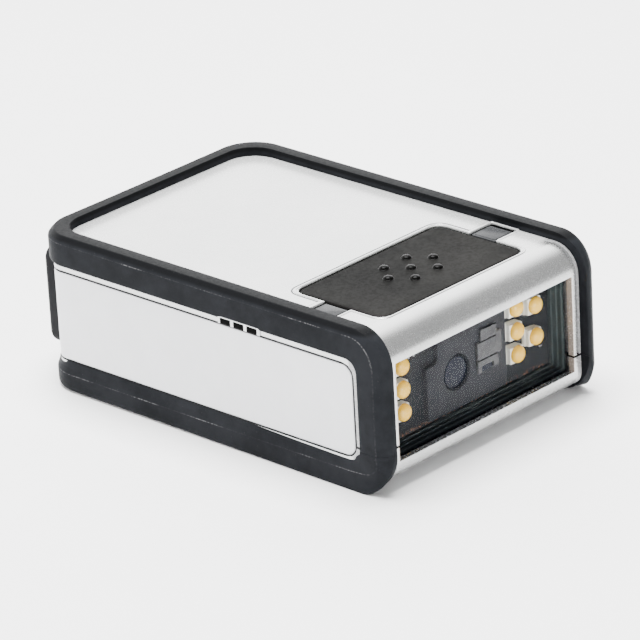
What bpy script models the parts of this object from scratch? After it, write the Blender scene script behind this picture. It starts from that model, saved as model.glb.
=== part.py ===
"""Hands-free barcode scanner: a small area imager that stands or is fixed on a counter.

Two silver plastic shells close on a level parting line. A black rubber ring with two
front limbs guards the top shell, a rubber tray guards the bottom one, and a black cap
covers the back with the cable socket. Behind the clear window sit the lamp board, its
eight domed lamps, the imager lens and the aiming lens. A dotted rubber pad in the roof
is the trigger button.

Frame: origin at the bottom centre, +X to the right as seen from the front, the window
looks along -Y, +Z is up. Units are metres.
"""

import math

import bmesh
import bpy
from mathutils import Matrix, Vector

MM = 0.001

# Overall size and clearances
LENGTH = 81.0 * MM
WIDTH = 53.0 * MM
HEIGHT = 28.0 * MM
CLEAR = 0.3 * MM
OVERCUT = 4.0 * MM

# How far the black parts stand proud of the silver ones
NOSE_PROUD = 1.5 * MM
TAIL_PROUD = 2.8 * MM
TOP_PROUD = 1.55 * MM
BASE_PROUD = 1.8 * MM
SIDE_PROUD = 0.7 * MM

# Rubber sections
RUBBER_SIDE = 3.0 * MM
RUBBER_BACK = 2.9 * MM
RUBBER_FOOT = 6.0 * MM
RUBBER_NOSE_RADIUS = 6.4 * MM
RUBBER_TAIL_RADIUS = 7.2 * MM
RUBBER_SHOULDER = 1.5 * MM
RUBBER_SOLE = 1.0 * MM
TRAY_SHOULDER = 1.5 * MM
TRAY_MARGIN = 0.2 * MM

# Shell forms
HOOD_RADIUS = 4.7 * MM
CHIN_RADIUS = 2.4 * MM
CORE_TAIL_RADIUS = 5.2 * MM
FLARE_TAIL_RADIUS = 3.0 * MM
BACK_STEP = 0.4 * MM
WALL = 1.8 * MM
SIDE_WALL = 0.9 * MM
BACK_WALL = 2.5 * MM
PARTING_SHARE = 0.268
PARTING_GAP = 0.4 * MM
RIM_GROOVE = 0.5 * MM
RIM_BEAD = 0.5 * MM

# Side panels and the silver bead around them
RING_DEPTH = 5.5 * MM
PANEL_FRONT = 5.35 * MM
PANEL_BOTTOM_Z = 5.7 * MM
PANEL_THICK = 1.0 * MM
PANEL_CORNER = 2.0 * MM
BEAD_TOP = 0.75 * MM
BEAD_FRONT = 0.6 * MM
BEAD_BOTTOM = 0.4 * MM

# Vent notches in the left bead
VENT_COUNT = 3
VENT_WIDTH = 2.0 * MM
VENT_PITCH = 2.93 * MM
VENT_CENTRE = 29.75 * MM
VENT_DEPTH = 1.4 * MM

# Window
PILLAR = 1.8 * MM
CHIN_HEIGHT = 3.1 * MM
HOOD_HEIGHT = 4.65 * MM
WINDOW_LIP = 1.1 * MM
PANE_THICK = 0.6 * MM
PANE_MARGIN = 0.5 * MM
GASKET_DEPTH = 2.6 * MM
GASKET_RAIL = 0.6 * MM

# Lamp board behind the window and its lamps
LAMP_BOARD_THICK = 1.0 * MM
LAMP_BODY_WIDTH = 3.2 * MM
LAMP_BODY_DEPTH = 0.7 * MM
LAMP_BODY_CHAMFER = 0.25 * MM
LAMP_DOME_RADIUS = 1.28 * MM
LAMP_DOME_BASE = 0.25 * MM
LAMP_INSET = 5.4 * MM
LAMP_COLUMN_PITCH = 4.4 * MM
LAMP_ROW_GAP = 0.88 * MM
# Row pitches, and how far each column's middle is raised, as shares of the window's height
LAMP_PITCH_SHARE = 0.2355
LAMP_LEFT_RAISE = 0.073
LAMP_RIGHT_RAISE = 0.0995
LAMP_EDGE_PITCH_SHARE = 0.3135
LAMP_EDGE_RAISE = 0.1125

# Imager and aimer
LENS_SHARE = 0.373
LENS_DROP = 1.0 * MM
BARREL_RADIUS = 2.8 * MM
BARREL_LENGTH = 7.0 * MM
BARREL_RECESS = 0.5 * MM
LENS_RADIUS = 2.1 * MM
LENS_RECESS = 0.7 * MM
LENS_THICK = 1.4 * MM
LENS_RISE = 0.45 * MM
BEZEL_LEFT_GAP = 4.7 * MM
BEZEL_RIGHT_GAP = 0.4 * MM
BEZEL_SILL = 1.1 * MM
BEZEL_HEADROOM = 2.2 * MM
BEZEL_STEP_X = 2.8 * MM
BEZEL_STEP_Z = 4.2 * MM
BEZEL_STEP_RADIUS = 0.9 * MM
BEZEL_THICK = 0.5 * MM
AIMER_EDGE = 1.7 * MM
AIMER_WIDTH = 5.2 * MM
AIMER_DROP = 3.05 * MM
AIMER_HEIGHT = 7.2 * MM
AIMER_DEPTH = 1.5 * MM
AIMER_STEPS = 3
IMAGER_WIDTH = 20.0 * MM
IMAGER_DEPTH = 9.8 * MM
IMAGER_SILL = 1.4 * MM
IMAGER_CENTRE_X = 1.0 * MM

# Trigger pad and the switch below it
PAD_SIDE = 5.97 * MM
PAD_FRONT = 6.27 * MM
PAD_BACK = 25.14 * MM
PAD_CORNER = 1.9 * MM
PAD_THICK = 1.1 * MM
PAD_SUNK = 0.1 * MM
PAD_TRAVEL = 0.5 * MM
PAD_DOT_RADIUS = 0.85 * MM
PAD_DOT_HEIGHT = 0.75 * MM
PAD_DOT_ROOT = 0.4 * MM
PAD_DOT_PITCH_X = 5.4 * MM
PAD_DOT_PITCH_Y = 3.3 * MM
PAD_DOT_ROWS = (2, 3, 2)
CARRIER_THICK = 0.7 * MM
CARRIER_MARGIN = 1.2 * MM
STEM_RADIUS = 1.8 * MM
STEM_SHY = 0.2 * MM
RECESS_FLOOR = 1.1 * MM
SWITCH_SIZE = 6.0 * MM
SWITCH_HEIGHT = 1.6 * MM
PLUNGER_RADIUS = 1.5 * MM
PLUNGER_HEIGHT = 1.2 * MM
TRIGGER_BOARD_FRONT = 8.0 * MM
TRIGGER_BOARD_BACK = 18.9 * MM
TRIGGER_BOARD_THICK = 1.0 * MM

# Status light windows beside the pad
LIGHT_FRONT = 12.9 * MM
LIGHT_BACK = 18.1 * MM
LIGHT_SUNK = 0.35 * MM
LIGHT_THICK = 1.5 * MM
LIGHT_STEM_RADIUS = 1.2 * MM
LIGHT_LAMP_SIZE = 1.6 * MM
LIGHT_LAMP_HEIGHT = 0.6 * MM

# Main board and what it carries
BOARD_SIDE_GAP = 1.8 * MM
BOARD_FRONT = 19.6 * MM
BOARD_TAIL_GAP = 0.6 * MM
BOARD_THICK = 1.2 * MM
BOARD_LIFT = 0.1 * MM
PART_GAP = 1.5 * MM
CHIP_SIZE = 12.0 * MM
CHIP_HEIGHT = 1.2 * MM
MEMORY_WIDTH = 6.4 * MM
MEMORY_LENGTH = 10.0 * MM
BEEPER_RADIUS = 4.5 * MM
BEEPER_HEIGHT = 3.2 * MM
BEEPER_HOLE_RADIUS = 0.8 * MM
RIBBON_WIDTH = 10.0 * MM
RIBBON_THICK = 0.3 * MM
RIBBON_DROP = 3.0 * MM
RIBBON_BEND = 1.6 * MM
CONNECTOR_WIDTH = 12.0 * MM
CONNECTOR_DEPTH = 3.4 * MM
CONNECTOR_HEIGHT = 1.5 * MM

# Screws that hold the shells together, and the threaded inserts in the base
BOSS_INSET = 4.8 * MM
BOSS_FRONT = 24.0 * MM
BOSS_BACK_GAP = 8.0 * MM
BOSS_RADIUS = 2.6 * MM
SCREW_RADIUS = 1.0 * MM
SCREW_LENGTH = 13.0 * MM
SCREW_HEAD_RADIUS = 1.9 * MM
SCREW_HEAD_HEIGHT = 1.4 * MM
SCREW_RECESS = 0.4 * MM
SCREW_SOCKET_RADIUS = 0.8 * MM
SCREW_SOCKET_DEPTH = 0.8 * MM
INSERT_RADIUS = 2.2 * MM
INSERT_BORE_RADIUS = 1.25 * MM
INSERT_LENGTH = 3.6 * MM
INSERT_FRONT = 32.0 * MM
INSERT_SPACING = 22.0 * MM

# Rear cap and cable socket
CAP_INSET = 4.2 * MM
CAP_LIFT = 0.2 * MM
CAP_RADIUS = 1.4 * MM
CAP_WALL = 1.5 * MM
CAP_TAB_WIDTH = 5.0 * MM
CAP_TAB_THICK = 1.2 * MM
CAP_HOOK_DEPTH = 0.6 * MM
CAP_HOOK_LENGTH = 1.2 * MM
CAP_HOOK_INSET = 0.4 * MM
PORT_INSET = 3.1 * MM
PORT_SILL = 0.5 * MM
PORT_HEADROOM = 2.4 * MM
SOCKET_HALF_X = 8.0 * MM
SOCKET_HEIGHT = 9.2 * MM
SOCKET_LENGTH = 18.6 * MM
SOCKET_SUNK = 0.4 * MM
SOCKET_HOLE_HALF_X = 5.9 * MM
SOCKET_HOLE_HEIGHT = 5.3 * MM
SOCKET_HOLE_DEPTH = 12.5 * MM
SOCKET_WALL = 1.2 * MM
LATCH_HALF_X = 3.1 * MM
LATCH_HEIGHT = 1.3 * MM
CONTACT_COUNT = 10
CONTACT_PITCH = 1.0 * MM
CONTACT_WIDTH = 0.5 * MM
CONTACT_THICK = 0.3 * MM
CONTACT_LENGTH = 6.0 * MM
CONTACT_BAR = 1.5 * MM

# Two places closer than this are one
SAME_PLACE = 0.0001 * MM
MERGE_DISTANCE = 0.01 * MM

# Steps in a quarter turn and around a circle
LARGE_ARC = 7
MEDIUM_ARC = 5
SMALL_ARC = 3
ROUND_STEPS = 24
DOT_STEPS = 12

# Edges sharper than these angles, in degrees, are rounded or shaded crisp
SOFTEN_ANGLE = 35.0
CRISP_ANGLE = 30.0

# Planes that follow from the sizes above
FRONT_Y = -LENGTH / 2
REAR_Y = LENGTH / 2
WINDOW_Y = FRONT_Y + NOSE_PROUD
BUMPER_BACK_Y = REAR_Y - TAIL_PROUD
RUBBER_INNER_X = WIDTH / 2 - RUBBER_SIDE
RUBBER_INNER_Y = BUMPER_BACK_Y - RUBBER_BACK
TOP_Z = HEIGHT - TOP_PROUD
BASE_Z = BASE_PROUD
CORE_X = RUBBER_INNER_X - CLEAR
CORE_BACK_Y = RUBBER_INNER_Y - CLEAR
FLARE_X = WIDTH / 2 - SIDE_PROUD
FLARE_BACK_Y = CORE_BACK_Y + BACK_STEP
FLARE_FRONT_Y = WINDOW_Y + PANEL_FRONT - CLEAR - BEAD_FRONT
FLARE_TOP_Z = HEIGHT - RING_DEPTH
PANEL_TOP_Z = FLARE_TOP_Z - BEAD_TOP - CLEAR
FLARE_BOTTOM_Z = PANEL_BOTTOM_Z - CLEAR - BEAD_BOTTOM
PARTING_Z = HEIGHT * PARTING_SHARE
UPPER_Z = PARTING_Z + PARTING_GAP / 2
LOWER_Z = PARTING_Z - PARTING_GAP / 2
CAVITY_X = CORE_X - SIDE_WALL
CAVITY_FRONT_Y = WINDOW_Y + WALL
CAVITY_BACK_Y = CORE_BACK_Y - BACK_WALL
CAVITY_TOP_Z = TOP_Z - WALL
CAVITY_BOTTOM_Z = BASE_Z + WALL
WINDOW_HALF_X = CORE_X - PILLAR
WINDOW_BOTTOM_Z = BASE_Z + CHIN_HEIGHT
WINDOW_TOP_Z = TOP_Z - HOOD_HEIGHT
WINDOW_HEIGHT = WINDOW_TOP_Z - WINDOW_BOTTOM_Z
WINDOW_MID_Z = (WINDOW_BOTTOM_Z + WINDOW_TOP_Z) / 2
PANE_HALF_X = WINDOW_HALF_X + PANE_MARGIN
PANE_FRONT_Y = WINDOW_Y + WINDOW_LIP + CLEAR
GASKET_FRONT_Y = PANE_FRONT_Y + PANE_THICK + CLEAR
GASKET_BACK_Y = GASKET_FRONT_Y + GASKET_DEPTH
LAMP_BOARD_Y = GASKET_BACK_Y + CLEAR
LAMP_BODY_HEIGHT = WINDOW_HEIGHT * LAMP_PITCH_SHARE - LAMP_ROW_GAP
LAMP_LEFT_X = LAMP_INSET - WINDOW_HALF_X
LAMP_EDGE_X = WINDOW_HALF_X - LAMP_INSET
LAMP_RIGHT_X = LAMP_EDGE_X - LAMP_COLUMN_PITCH
BEZEL_LEFT_X = LAMP_LEFT_X + LAMP_BODY_WIDTH / 2 + BEZEL_LEFT_GAP
BEZEL_RIGHT_X = LAMP_RIGHT_X - LAMP_BODY_WIDTH / 2 - BEZEL_RIGHT_GAP
BEZEL_BOTTOM_Z = WINDOW_BOTTOM_Z + BEZEL_SILL
BEZEL_TOP_Z = WINDOW_TOP_Z - BEZEL_HEADROOM
LENS_X = BEZEL_LEFT_X + (BEZEL_RIGHT_X - BEZEL_LEFT_X) * LENS_SHARE
LENS_Z = WINDOW_MID_Z - LENS_DROP
AIMER_BOTTOM_Z = WINDOW_MID_Z - AIMER_DROP
PAD_HALF_X = CORE_X - PAD_SIDE
PAD_TOP_Z = TOP_Z - PAD_SUNK
PAD_BASE_Z = PAD_TOP_Z - PAD_THICK
CARRIER_TOP_Z = PAD_BASE_Z - CLEAR
CARRIER_BASE_Z = CARRIER_TOP_Z - CARRIER_THICK
RECESS_Z = CARRIER_BASE_Z - PAD_TRAVEL - CLEAR
WELL_BOTTOM_Z = RECESS_Z - RECESS_FLOOR
STEM_BOTTOM_Z = WELL_BOTTOM_Z + STEM_SHY
PAD_CENTRE_Y = WINDOW_Y + (PAD_FRONT + PAD_BACK) / 2
SWITCH_TOP_Z = STEM_BOTTOM_Z - PAD_TRAVEL - CLEAR
SWITCH_Z = SWITCH_TOP_Z - SWITCH_HEIGHT
TRIGGER_BOARD_Z = SWITCH_Z - CLEAR - TRIGGER_BOARD_THICK
IMAGER_BOTTOM_Z = WINDOW_BOTTOM_Z + IMAGER_SILL
IMAGER_TOP_Z = TRIGGER_BOARD_Z - CLEAR
RIBBON_TOP_Z = IMAGER_TOP_Z - RIBBON_DROP
BOARD_HALF_X = CAVITY_X - BOARD_SIDE_GAP
BOARD_Z = LOWER_Z + BOARD_LIFT
BOARD_TOP_Z = BOARD_Z + BOARD_THICK
BOARD_FRONT_Y = WINDOW_Y + BOARD_FRONT
BOARD_BACK_Y = CAVITY_BACK_Y - BOARD_TAIL_GAP
BOSS_X = CAVITY_X - BOSS_INSET
CAP_HALF_X = FLARE_X - CAP_INSET
CAP_BOTTOM_Z = FLARE_BOTTOM_Z + CAP_LIFT
CAP_FRONT_Y = FLARE_BACK_Y + CLEAR
CAP_TOP_Z = FLARE_TOP_Z
PANEL_RETURN_X = CAP_HALF_X + CLEAR
SOCKET_Z = BOARD_TOP_Z + CLEAR
PORT_HALF_X = CAP_HALF_X - PORT_INSET
PORT_BOTTOM_Z = SOCKET_Z - PORT_SILL
PORT_TOP_Z = SOCKET_Z + SOCKET_HEIGHT + PORT_HEADROOM
SOCKET_BACK_Y = REAR_Y - SOCKET_SUNK
SOCKET_HOLE_Z = SOCKET_Z + SOCKET_WALL + LATCH_HEIGHT
SHELL_SCREW_Z = BASE_Z + SCREW_RECESS


def clear_scene():
    """Remove every object and unused data block of the open file."""
    for old in list(bpy.data.objects):
        bpy.data.objects.remove(old, do_unlink=True)
    for blocks in (bpy.data.meshes, bpy.data.curves, bpy.data.materials):
        for old in list(blocks):
            blocks.remove(old)


def new_collection(name):
    """Make an empty collection under the scene."""
    collection = bpy.data.collections.new(name)
    bpy.context.scene.collection.children.link(collection)
    return collection


def material(name, colour, roughness, metallic=0.0):
    """Make a plain material with a colour, a roughness and a metallic value."""
    result = bpy.data.materials.new(name)
    result.use_nodes = True
    shader = result.node_tree.nodes["Principled BSDF"]
    shader.inputs["Base Color"].default_value = (*colour, 1.0)
    shader.inputs["Roughness"].default_value = roughness
    shader.inputs["Metallic"].default_value = metallic
    return result


def object_from_bmesh(name, bm, place=(0.0, 0.0, 0.0)):
    """Turn a bmesh into an object of the parts collection at a place."""
    bmesh.ops.recalc_face_normals(bm, faces=bm.faces)
    mesh = bpy.data.meshes.new(name)
    bm.to_mesh(mesh)
    bm.free()
    result = bpy.data.objects.new(name, mesh)
    result.location = place
    PARTS.objects.link(result)
    return result


def block(name, low, high, fillets=()):
    """Box between two corners with some of its twelve edges rounded.

    A fillet is (axis, side, side, radius, steps): the edges along that axis that lie on
    the given sides (-1, 1, or 0 for both) of the two other axes, in X, Y, Z order. Fillets
    of one radius and step count are rounded together, so that they meet in clean corners.
    """
    low, high = Vector(low), Vector(high)
    centre = (low + high) / 2
    half = (high - low) / 2
    bm = bmesh.new()
    bmesh.ops.create_cube(bm, size=2.0, matrix=Matrix.Diagonal((*half, 1.0)))
    for form in dict.fromkeys(fillet[3:] for fillet in fillets):
        corners = [fillet[:3] for fillet in fillets if fillet[3:] == form]
        edges = [edge for edge in bm.edges
                 if any(on_corner(edge, corner, half) for corner in corners)]
        bmesh.ops.bevel(bm, geom=edges, offset=form[0], segments=form[1], profile=0.5,
                        affect="EDGES", clamp_overlap=True)
    return object_from_bmesh(name, bm, centre)


def on_corner(edge, corner, half):
    """Tell whether an edge runs along an axis on the given sides of a centred box."""
    others = [index for index in range(3) if index != "XYZ".index(corner[0])]
    for axis, side in zip(others, corner[1:]):
        start, end = (vertex.co[axis] for vertex in edge.verts)
        if abs(start - end) > SAME_PLACE or abs(abs(start) - half[axis]) > SAME_PLACE:
            return False
        if start * side < 0:
            return False
    return True


def cylinder(name, radius, low, high, centre, axis="Z", steps=ROUND_STEPS):
    """Cylinder between two heights along Z, or between two places along Y."""
    bm = bmesh.new()
    bmesh.ops.create_cone(bm, cap_ends=True, segments=steps, radius1=radius,
                          radius2=radius, depth=high - low)
    middle = (low + high) / 2
    if axis == "Z":
        return object_from_bmesh(name, bm, (centre[0], centre[1], middle))
    bmesh.ops.rotate(bm, matrix=Matrix.Rotation(math.pi / 2, 3, "X"), verts=bm.verts)
    return object_from_bmesh(name, bm, (centre[0], middle, centre[1]))


def turned(name, profile, place, steps=ROUND_STEPS):
    """Solid of revolution about Z from a profile of (radius, height), top to bottom."""
    mesh = bpy.data.meshes.new(name)
    points = [(radius, 0.0, height) for radius, height in profile]
    mesh.from_pydata(points, [(i, i + 1) for i in range(len(points) - 1)], [])
    result = bpy.data.objects.new(name, mesh)
    result.location = place
    PARTS.objects.link(result)
    screw = result.modifiers.new("turn", "SCREW")
    screw.axis = "Z"
    screw.angle = 2 * math.pi
    screw.steps = steps
    screw.render_steps = steps
    screw.use_merge_vertices = True
    screw.merge_threshold = MERGE_DISTANCE
    return result


def flat_outline(name, points, thickness, frame):
    """Extrude a closed outline by a thickness and place its plane with a matrix.

    The outline lies in the plane's own first two axes, and the thickness is centred.
    """
    curve = bpy.data.curves.new(name, "CURVE")
    curve.dimensions = "2D"
    curve.fill_mode = "BOTH"
    curve.extrude = thickness / 2
    spline = curve.splines.new("POLY")
    spline.points.add(len(points) - 1)
    for point, (first, second) in zip(spline.points, points):
        point.co = (first, second, 0.0, 1.0)
    spline.use_cyclic_u = True
    guide = bpy.data.objects.new(name + "_outline", curve)
    PARTS.objects.link(guide)
    graph = bpy.context.evaluated_depsgraph_get()
    mesh = bpy.data.meshes.new_from_object(guide.evaluated_get(graph))
    bm = bmesh.new()
    bm.from_mesh(mesh)
    bmesh.ops.remove_doubles(bm, verts=bm.verts, dist=MERGE_DISTANCE)
    bmesh.ops.transform(bm, matrix=frame.to_3x3().to_4x4(), verts=bm.verts)
    bpy.data.objects.remove(guide, do_unlink=True)
    bpy.data.curves.remove(curve)
    bpy.data.meshes.remove(mesh)
    return object_from_bmesh(name, bm, frame.translation)


def across_x(place):
    """Frame whose outline plane is (Y, Z) and whose thickness runs along X."""
    turn = Matrix(((0, 0, 1), (1, 0, 0), (0, 1, 0)))
    return Matrix.Translation(place) @ turn.to_4x4()


def arc(centre, radius, start, end, steps):
    """Points along an arc between two angles in degrees, ends included."""
    result = []
    for index in range(steps + 1):
        angle = math.radians(start + (end - start) * index / steps)
        result.append((centre[0] + radius * math.cos(angle), centre[1] + radius * math.sin(angle)))
    return result


def as_cutter(obj):
    """Move an object to the cutters and show it as a wire guide."""
    PARTS.objects.unlink(obj)
    CUTTERS.objects.link(obj)
    obj.name = "cut_" + obj.name
    obj.hide_render = True
    obj.display_type = "WIRE"
    return obj


def combine(target, tool, operation):
    """Add an exact Boolean of a tool to a target."""
    modifier = target.modifiers.new(operation.lower() + "_" + tool.name, "BOOLEAN")
    modifier.operation = operation
    modifier.solver = "EXACT"
    modifier.object = tool if tool.name.startswith("cut_") else as_cutter(tool)
    return target


def cut(target, *tools):
    """Take each tool away from the target."""
    for tool in tools:
        combine(target, tool, "DIFFERENCE")
    return target


def add(target, *tools):
    """Join each tool to the target."""
    for tool in tools:
        combine(target, tool, "UNION")
    return target


def keep(target, *tools):
    """Keep only what the target shares with each tool."""
    for tool in tools:
        combine(target, tool, "INTERSECT")
    return target


def soften(target, width, steps):
    """Round the sharp edges of a simple solid."""
    bevel = target.modifiers.new("soften", "BEVEL")
    bevel.limit_method = "ANGLE"
    bevel.angle_limit = math.radians(SOFTEN_ANGLE)
    bevel.width = width
    bevel.segments = steps
    bevel.use_clamp_overlap = True
    return target


def dress(obj, finish):
    """Give a piece its material and smooth shading with crisp edges."""
    obj.data.materials.clear()
    obj.data.materials.append(finish)
    if obj.data.polygons:
        obj.data.shade_smooth()
        obj.data.set_sharp_from_angle(angle=math.radians(CRISP_ANGLE))
    return obj


def rubber_body(name, edge, steps):
    """Outer form that both bumpers are cut from: a box with round nose and tail corners."""
    body = block(name, (-WIDTH / 2, FRONT_Y, 0.0), (WIDTH / 2, BUMPER_BACK_Y, HEIGHT),
                 (("Z", 0, 1, RUBBER_TAIL_RADIUS, LARGE_ARC),
                  ("X", -1, 0, RUBBER_NOSE_RADIUS, LARGE_ARC)))
    return soften(body, edge, steps)


def side_opening(name, bottom, top):
    """Opening through both rubber sides and the back where the panels and cap show."""
    return block(name, (-WIDTH, FLARE_FRONT_Y - CLEAR, bottom), (WIDTH, REAR_Y + OVERCUT, top),
                 (("X", -1, 0, PANEL_CORNER + CLEAR, SMALL_ARC),))


def core_opening(name, bottom, top):
    """Well inside the rubber that the shells fill, open at the front."""
    return block(name, (-RUBBER_INNER_X, FRONT_Y - OVERCUT, bottom),
                 (RUBBER_INNER_X, RUBBER_INNER_Y, top),
                 (("Z", 0, 1, CORE_TAIL_RADIUS + CLEAR, MEDIUM_ARC),))


def build_top_bumper(finish):
    """Rubber ring around the roof with a limb down each side of the window."""
    bumper = rubber_body("top_bumper", RUBBER_SHOULDER, 1)
    below = block("below_parting", (-WIDTH, FRONT_Y - OVERCUT, -OVERCUT),
                  (WIDTH, REAR_Y + OVERCUT, UPPER_Z))
    cut(bumper, below, core_opening("ring_well", -OVERCUT, HEIGHT + OVERCUT),
        side_opening("ring_sides", -2 * OVERCUT, FLARE_TOP_Z + CLEAR))
    return dress(bumper, finish)


def build_bottom_bumper(finish):
    """Rubber tray that the scanner stands on, with the lower nose corners."""
    bumper = rubber_body("bottom_bumper", RUBBER_SOLE, SMALL_ARC)
    keep(bumper, tray_envelope("tray_envelope"))
    foot_x = WIDTH / 2 - RUBBER_FOOT
    underside = block("underside", (-foot_x, FRONT_Y - OVERCUT, -OVERCUT),
                      (foot_x, BUMPER_BACK_Y - RUBBER_FOOT, HEIGHT),
                      (("Z", 0, 1, FLARE_TAIL_RADIUS, SMALL_ARC),))
    cut(bumper, core_opening("tray_well", BASE_Z - CLEAR, HEIGHT + OVERCUT), underside,
        side_opening("tray_sides", FLARE_BOTTOM_Z - CLEAR, HEIGHT + OVERCUT))
    return dress(bumper, finish)


def tray_envelope(name):
    """Space for the lower rubber: a rail with a sloped top edge, and taller nose corners."""
    side = WIDTH / 2 + TRAY_MARGIN
    rail = block(name, (-side, FRONT_Y - OVERCUT, -OVERCUT),
                 (side, BUMPER_BACK_Y + TRAY_MARGIN, FLARE_BOTTOM_Z - CLEAR),
                 (("Z", 0, 1, RUBBER_TAIL_RADIUS, LARGE_ARC),))
    soften(rail, TRAY_SHOULDER, 1)
    nose = block(name + "_nose", (-WIDTH, FRONT_Y - OVERCUT * 2, -OVERCUT * 2),
                 (WIDTH, FLARE_FRONT_Y + PANEL_CORNER, LOWER_Z))
    return add(rail, nose)


def panel_solid(name, side, inset, margin, proud):
    """Side panel strip that wraps round the back corner.

    The panel has an inset below the shell's side. A pocket for it is the same strip with a
    deeper inset, a margin on its edges and some height over the surface.
    """
    turn = (FLARE_X - FLARE_TAIL_RADIUS, FLARE_BACK_Y - FLARE_TAIL_RADIUS)
    outer_radius = FLARE_TAIL_RADIUS + proud
    inner_radius = FLARE_TAIL_RADIUS - inset
    front = WINDOW_Y + PANEL_FRONT - margin
    back_x = PANEL_RETURN_X - margin
    points = [(turn[0] + outer_radius, front)]
    points += arc(turn, outer_radius, 0, 90, MEDIUM_ARC)
    points.append((back_x, turn[1] + outer_radius))
    points.append((back_x, turn[1] + inner_radius))
    points += arc(turn, inner_radius, 90, 0, MEDIUM_ARC)
    points.append((turn[0] + inner_radius, front))
    points = [(side * x, y) for x, y in points]
    low, high = PANEL_BOTTOM_Z - margin, PANEL_TOP_Z + margin
    strip = flat_outline(name, points, high - low, Matrix.Translation((0, 0, (low + high) / 2)))
    face = block(name + "_face", (-WIDTH, front, low), (WIDTH, REAR_Y + OVERCUT, high),
                 (("X", -1, 0, PANEL_CORNER + margin, SMALL_ARC),))
    return keep(strip, face)


def build_side_panel(name, side, finish):
    """Silver insert in one side, flush with the bead around it."""
    return dress(panel_solid(name, side, PANEL_THICK, 0.0, 0.0), finish)


def panel_pockets(label):
    """Pockets for both side panels."""
    return [panel_solid(label + name, side, PANEL_THICK + CLEAR, CLEAR, OVERCUT)
            for name, side in (("_left", -1), ("_right", 1))]


def boss_places():
    """Centres of the four screw bosses."""
    rows = (WINDOW_Y + BOSS_FRONT, CAVITY_BACK_Y - BOSS_BACK_GAP)
    return [(x, y) for y in rows for x in (-BOSS_X, BOSS_X)]


def insert_places():
    """Centres of the two threaded inserts on the middle line."""
    return [(0.0, WINDOW_Y + INSERT_FRONT + index * INSERT_SPACING) for index in range(2)]


def window_cutters(label):
    """Window opening, and the wider seat behind its lip for the pane and its gasket."""
    opening = block(label + "_window", (-WINDOW_HALF_X, FRONT_Y - OVERCUT, WINDOW_BOTTOM_Z),
                    (WINDOW_HALF_X, CAVITY_FRONT_Y + CLEAR, WINDOW_TOP_Z))
    seat_x = PANE_HALF_X + CLEAR
    seat_z = PANE_MARGIN + CLEAR
    seat = block(label + "_seat", (-seat_x, WINDOW_Y + WINDOW_LIP, WINDOW_BOTTOM_Z - seat_z),
                 (seat_x, GASKET_BACK_Y + CLEAR, WINDOW_TOP_Z + seat_z))
    return [opening, seat]


def light_span():
    """Inner and outer X of a status light slot."""
    return PAD_HALF_X + CLEAR, CORE_X


def build_top_shell(finish):
    """Roof, curved hood over the window, side walls and back wall, open below."""
    shell = block("top_shell", (-CORE_X, WINDOW_Y, UPPER_Z), (CORE_X, CORE_BACK_Y, TOP_Z),
                  (("Z", 0, 1, CORE_TAIL_RADIUS, MEDIUM_ARC),
                   ("X", -1, 1, HOOD_RADIUS, LARGE_ARC)))
    flare = block("top_flare", (-FLARE_X, FLARE_FRONT_Y, UPPER_Z),
                  (FLARE_X, FLARE_BACK_Y, FLARE_TOP_Z),
                  (("Z", 0, 1, FLARE_TAIL_RADIUS, MEDIUM_ARC),
                   ("X", -1, 1, PANEL_CORNER + CLEAR, SMALL_ARC)))
    cavity = block("top_cavity", (-CAVITY_X, CAVITY_FRONT_Y, UPPER_Z - OVERCUT),
                   (CAVITY_X, CAVITY_BACK_Y, CAVITY_TOP_Z),
                   (("X", -1, 1, HOOD_RADIUS - WALL, SMALL_ARC),))
    add(shell, flare)
    cut(shell, cavity)
    pad_well_floor = block("pad_well_floor",
                           (-CAVITY_X - CLEAR, WINDOW_Y + PAD_FRONT - WALL, WELL_BOTTOM_Z),
                           (CAVITY_X + CLEAR, WINDOW_Y + PAD_BACK + WALL, CAVITY_TOP_Z + CLEAR))
    add(shell, pad_well_floor)
    for number, place in enumerate(boss_places(), 1):
        add(shell, cylinder(f"top_boss_{number}", BOSS_RADIUS, BOARD_TOP_Z + CLEAR,
                            CAVITY_TOP_Z + CLEAR, place))
    cut(shell, *window_cutters("top"), *panel_pockets("top_pocket"))
    cut(shell, pad_well("pad_well"), *light_wells(), rear_port("rear_port"), *rim_grooves())
    for number, place in enumerate(boss_places(), 1):
        cut(shell, cylinder(f"top_screw_hole_{number}", SCREW_RADIUS + CLEAR, LOWER_Z,
                            SHELL_SCREW_Z + SCREW_LENGTH + WALL, place))
    cut(shell, *vent_notches())
    return dress(shell, finish)


def pad_well(name):
    """Recess for the trigger pad, with the hole for its stem."""
    recess = block(name, (-PAD_HALF_X - CLEAR, WINDOW_Y + PAD_FRONT - CLEAR, RECESS_Z),
                   (PAD_HALF_X + CLEAR, WINDOW_Y + PAD_BACK + CLEAR, TOP_Z + OVERCUT),
                   (("Z", 0, 0, PAD_CORNER + CLEAR, SMALL_ARC),))
    stem_hole = cylinder(name + "_stem", STEM_RADIUS + CLEAR, WELL_BOTTOM_Z - OVERCUT,
                         RECESS_Z + CLEAR, (0.0, PAD_CENTRE_Y))
    return add(recess, stem_hole)


def light_wells():
    """Slot and stem hole for the status light on each side of the pad."""
    inner, outer = light_span()
    wells = []
    for label, side in (("left", -1), ("right", 1)):
        ends = sorted((side * (inner - CLEAR), side * (outer + OVERCUT)))
        slot = block("light_slot_" + label,
                     (ends[0], WINDOW_Y + LIGHT_FRONT - CLEAR, light_base_z() - CLEAR),
                     (ends[1], WINDOW_Y + LIGHT_BACK + CLEAR, TOP_Z + OVERCUT))
        hole = cylinder("light_hole_" + label, LIGHT_STEM_RADIUS + CLEAR, TRIGGER_BOARD_Z,
                        light_base_z(), light_centre(side))
        wells += [slot, hole]
    return wells


def light_base_z():
    """Underside of a status light's head."""
    return TOP_Z - LIGHT_SUNK - LIGHT_THICK


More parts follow.
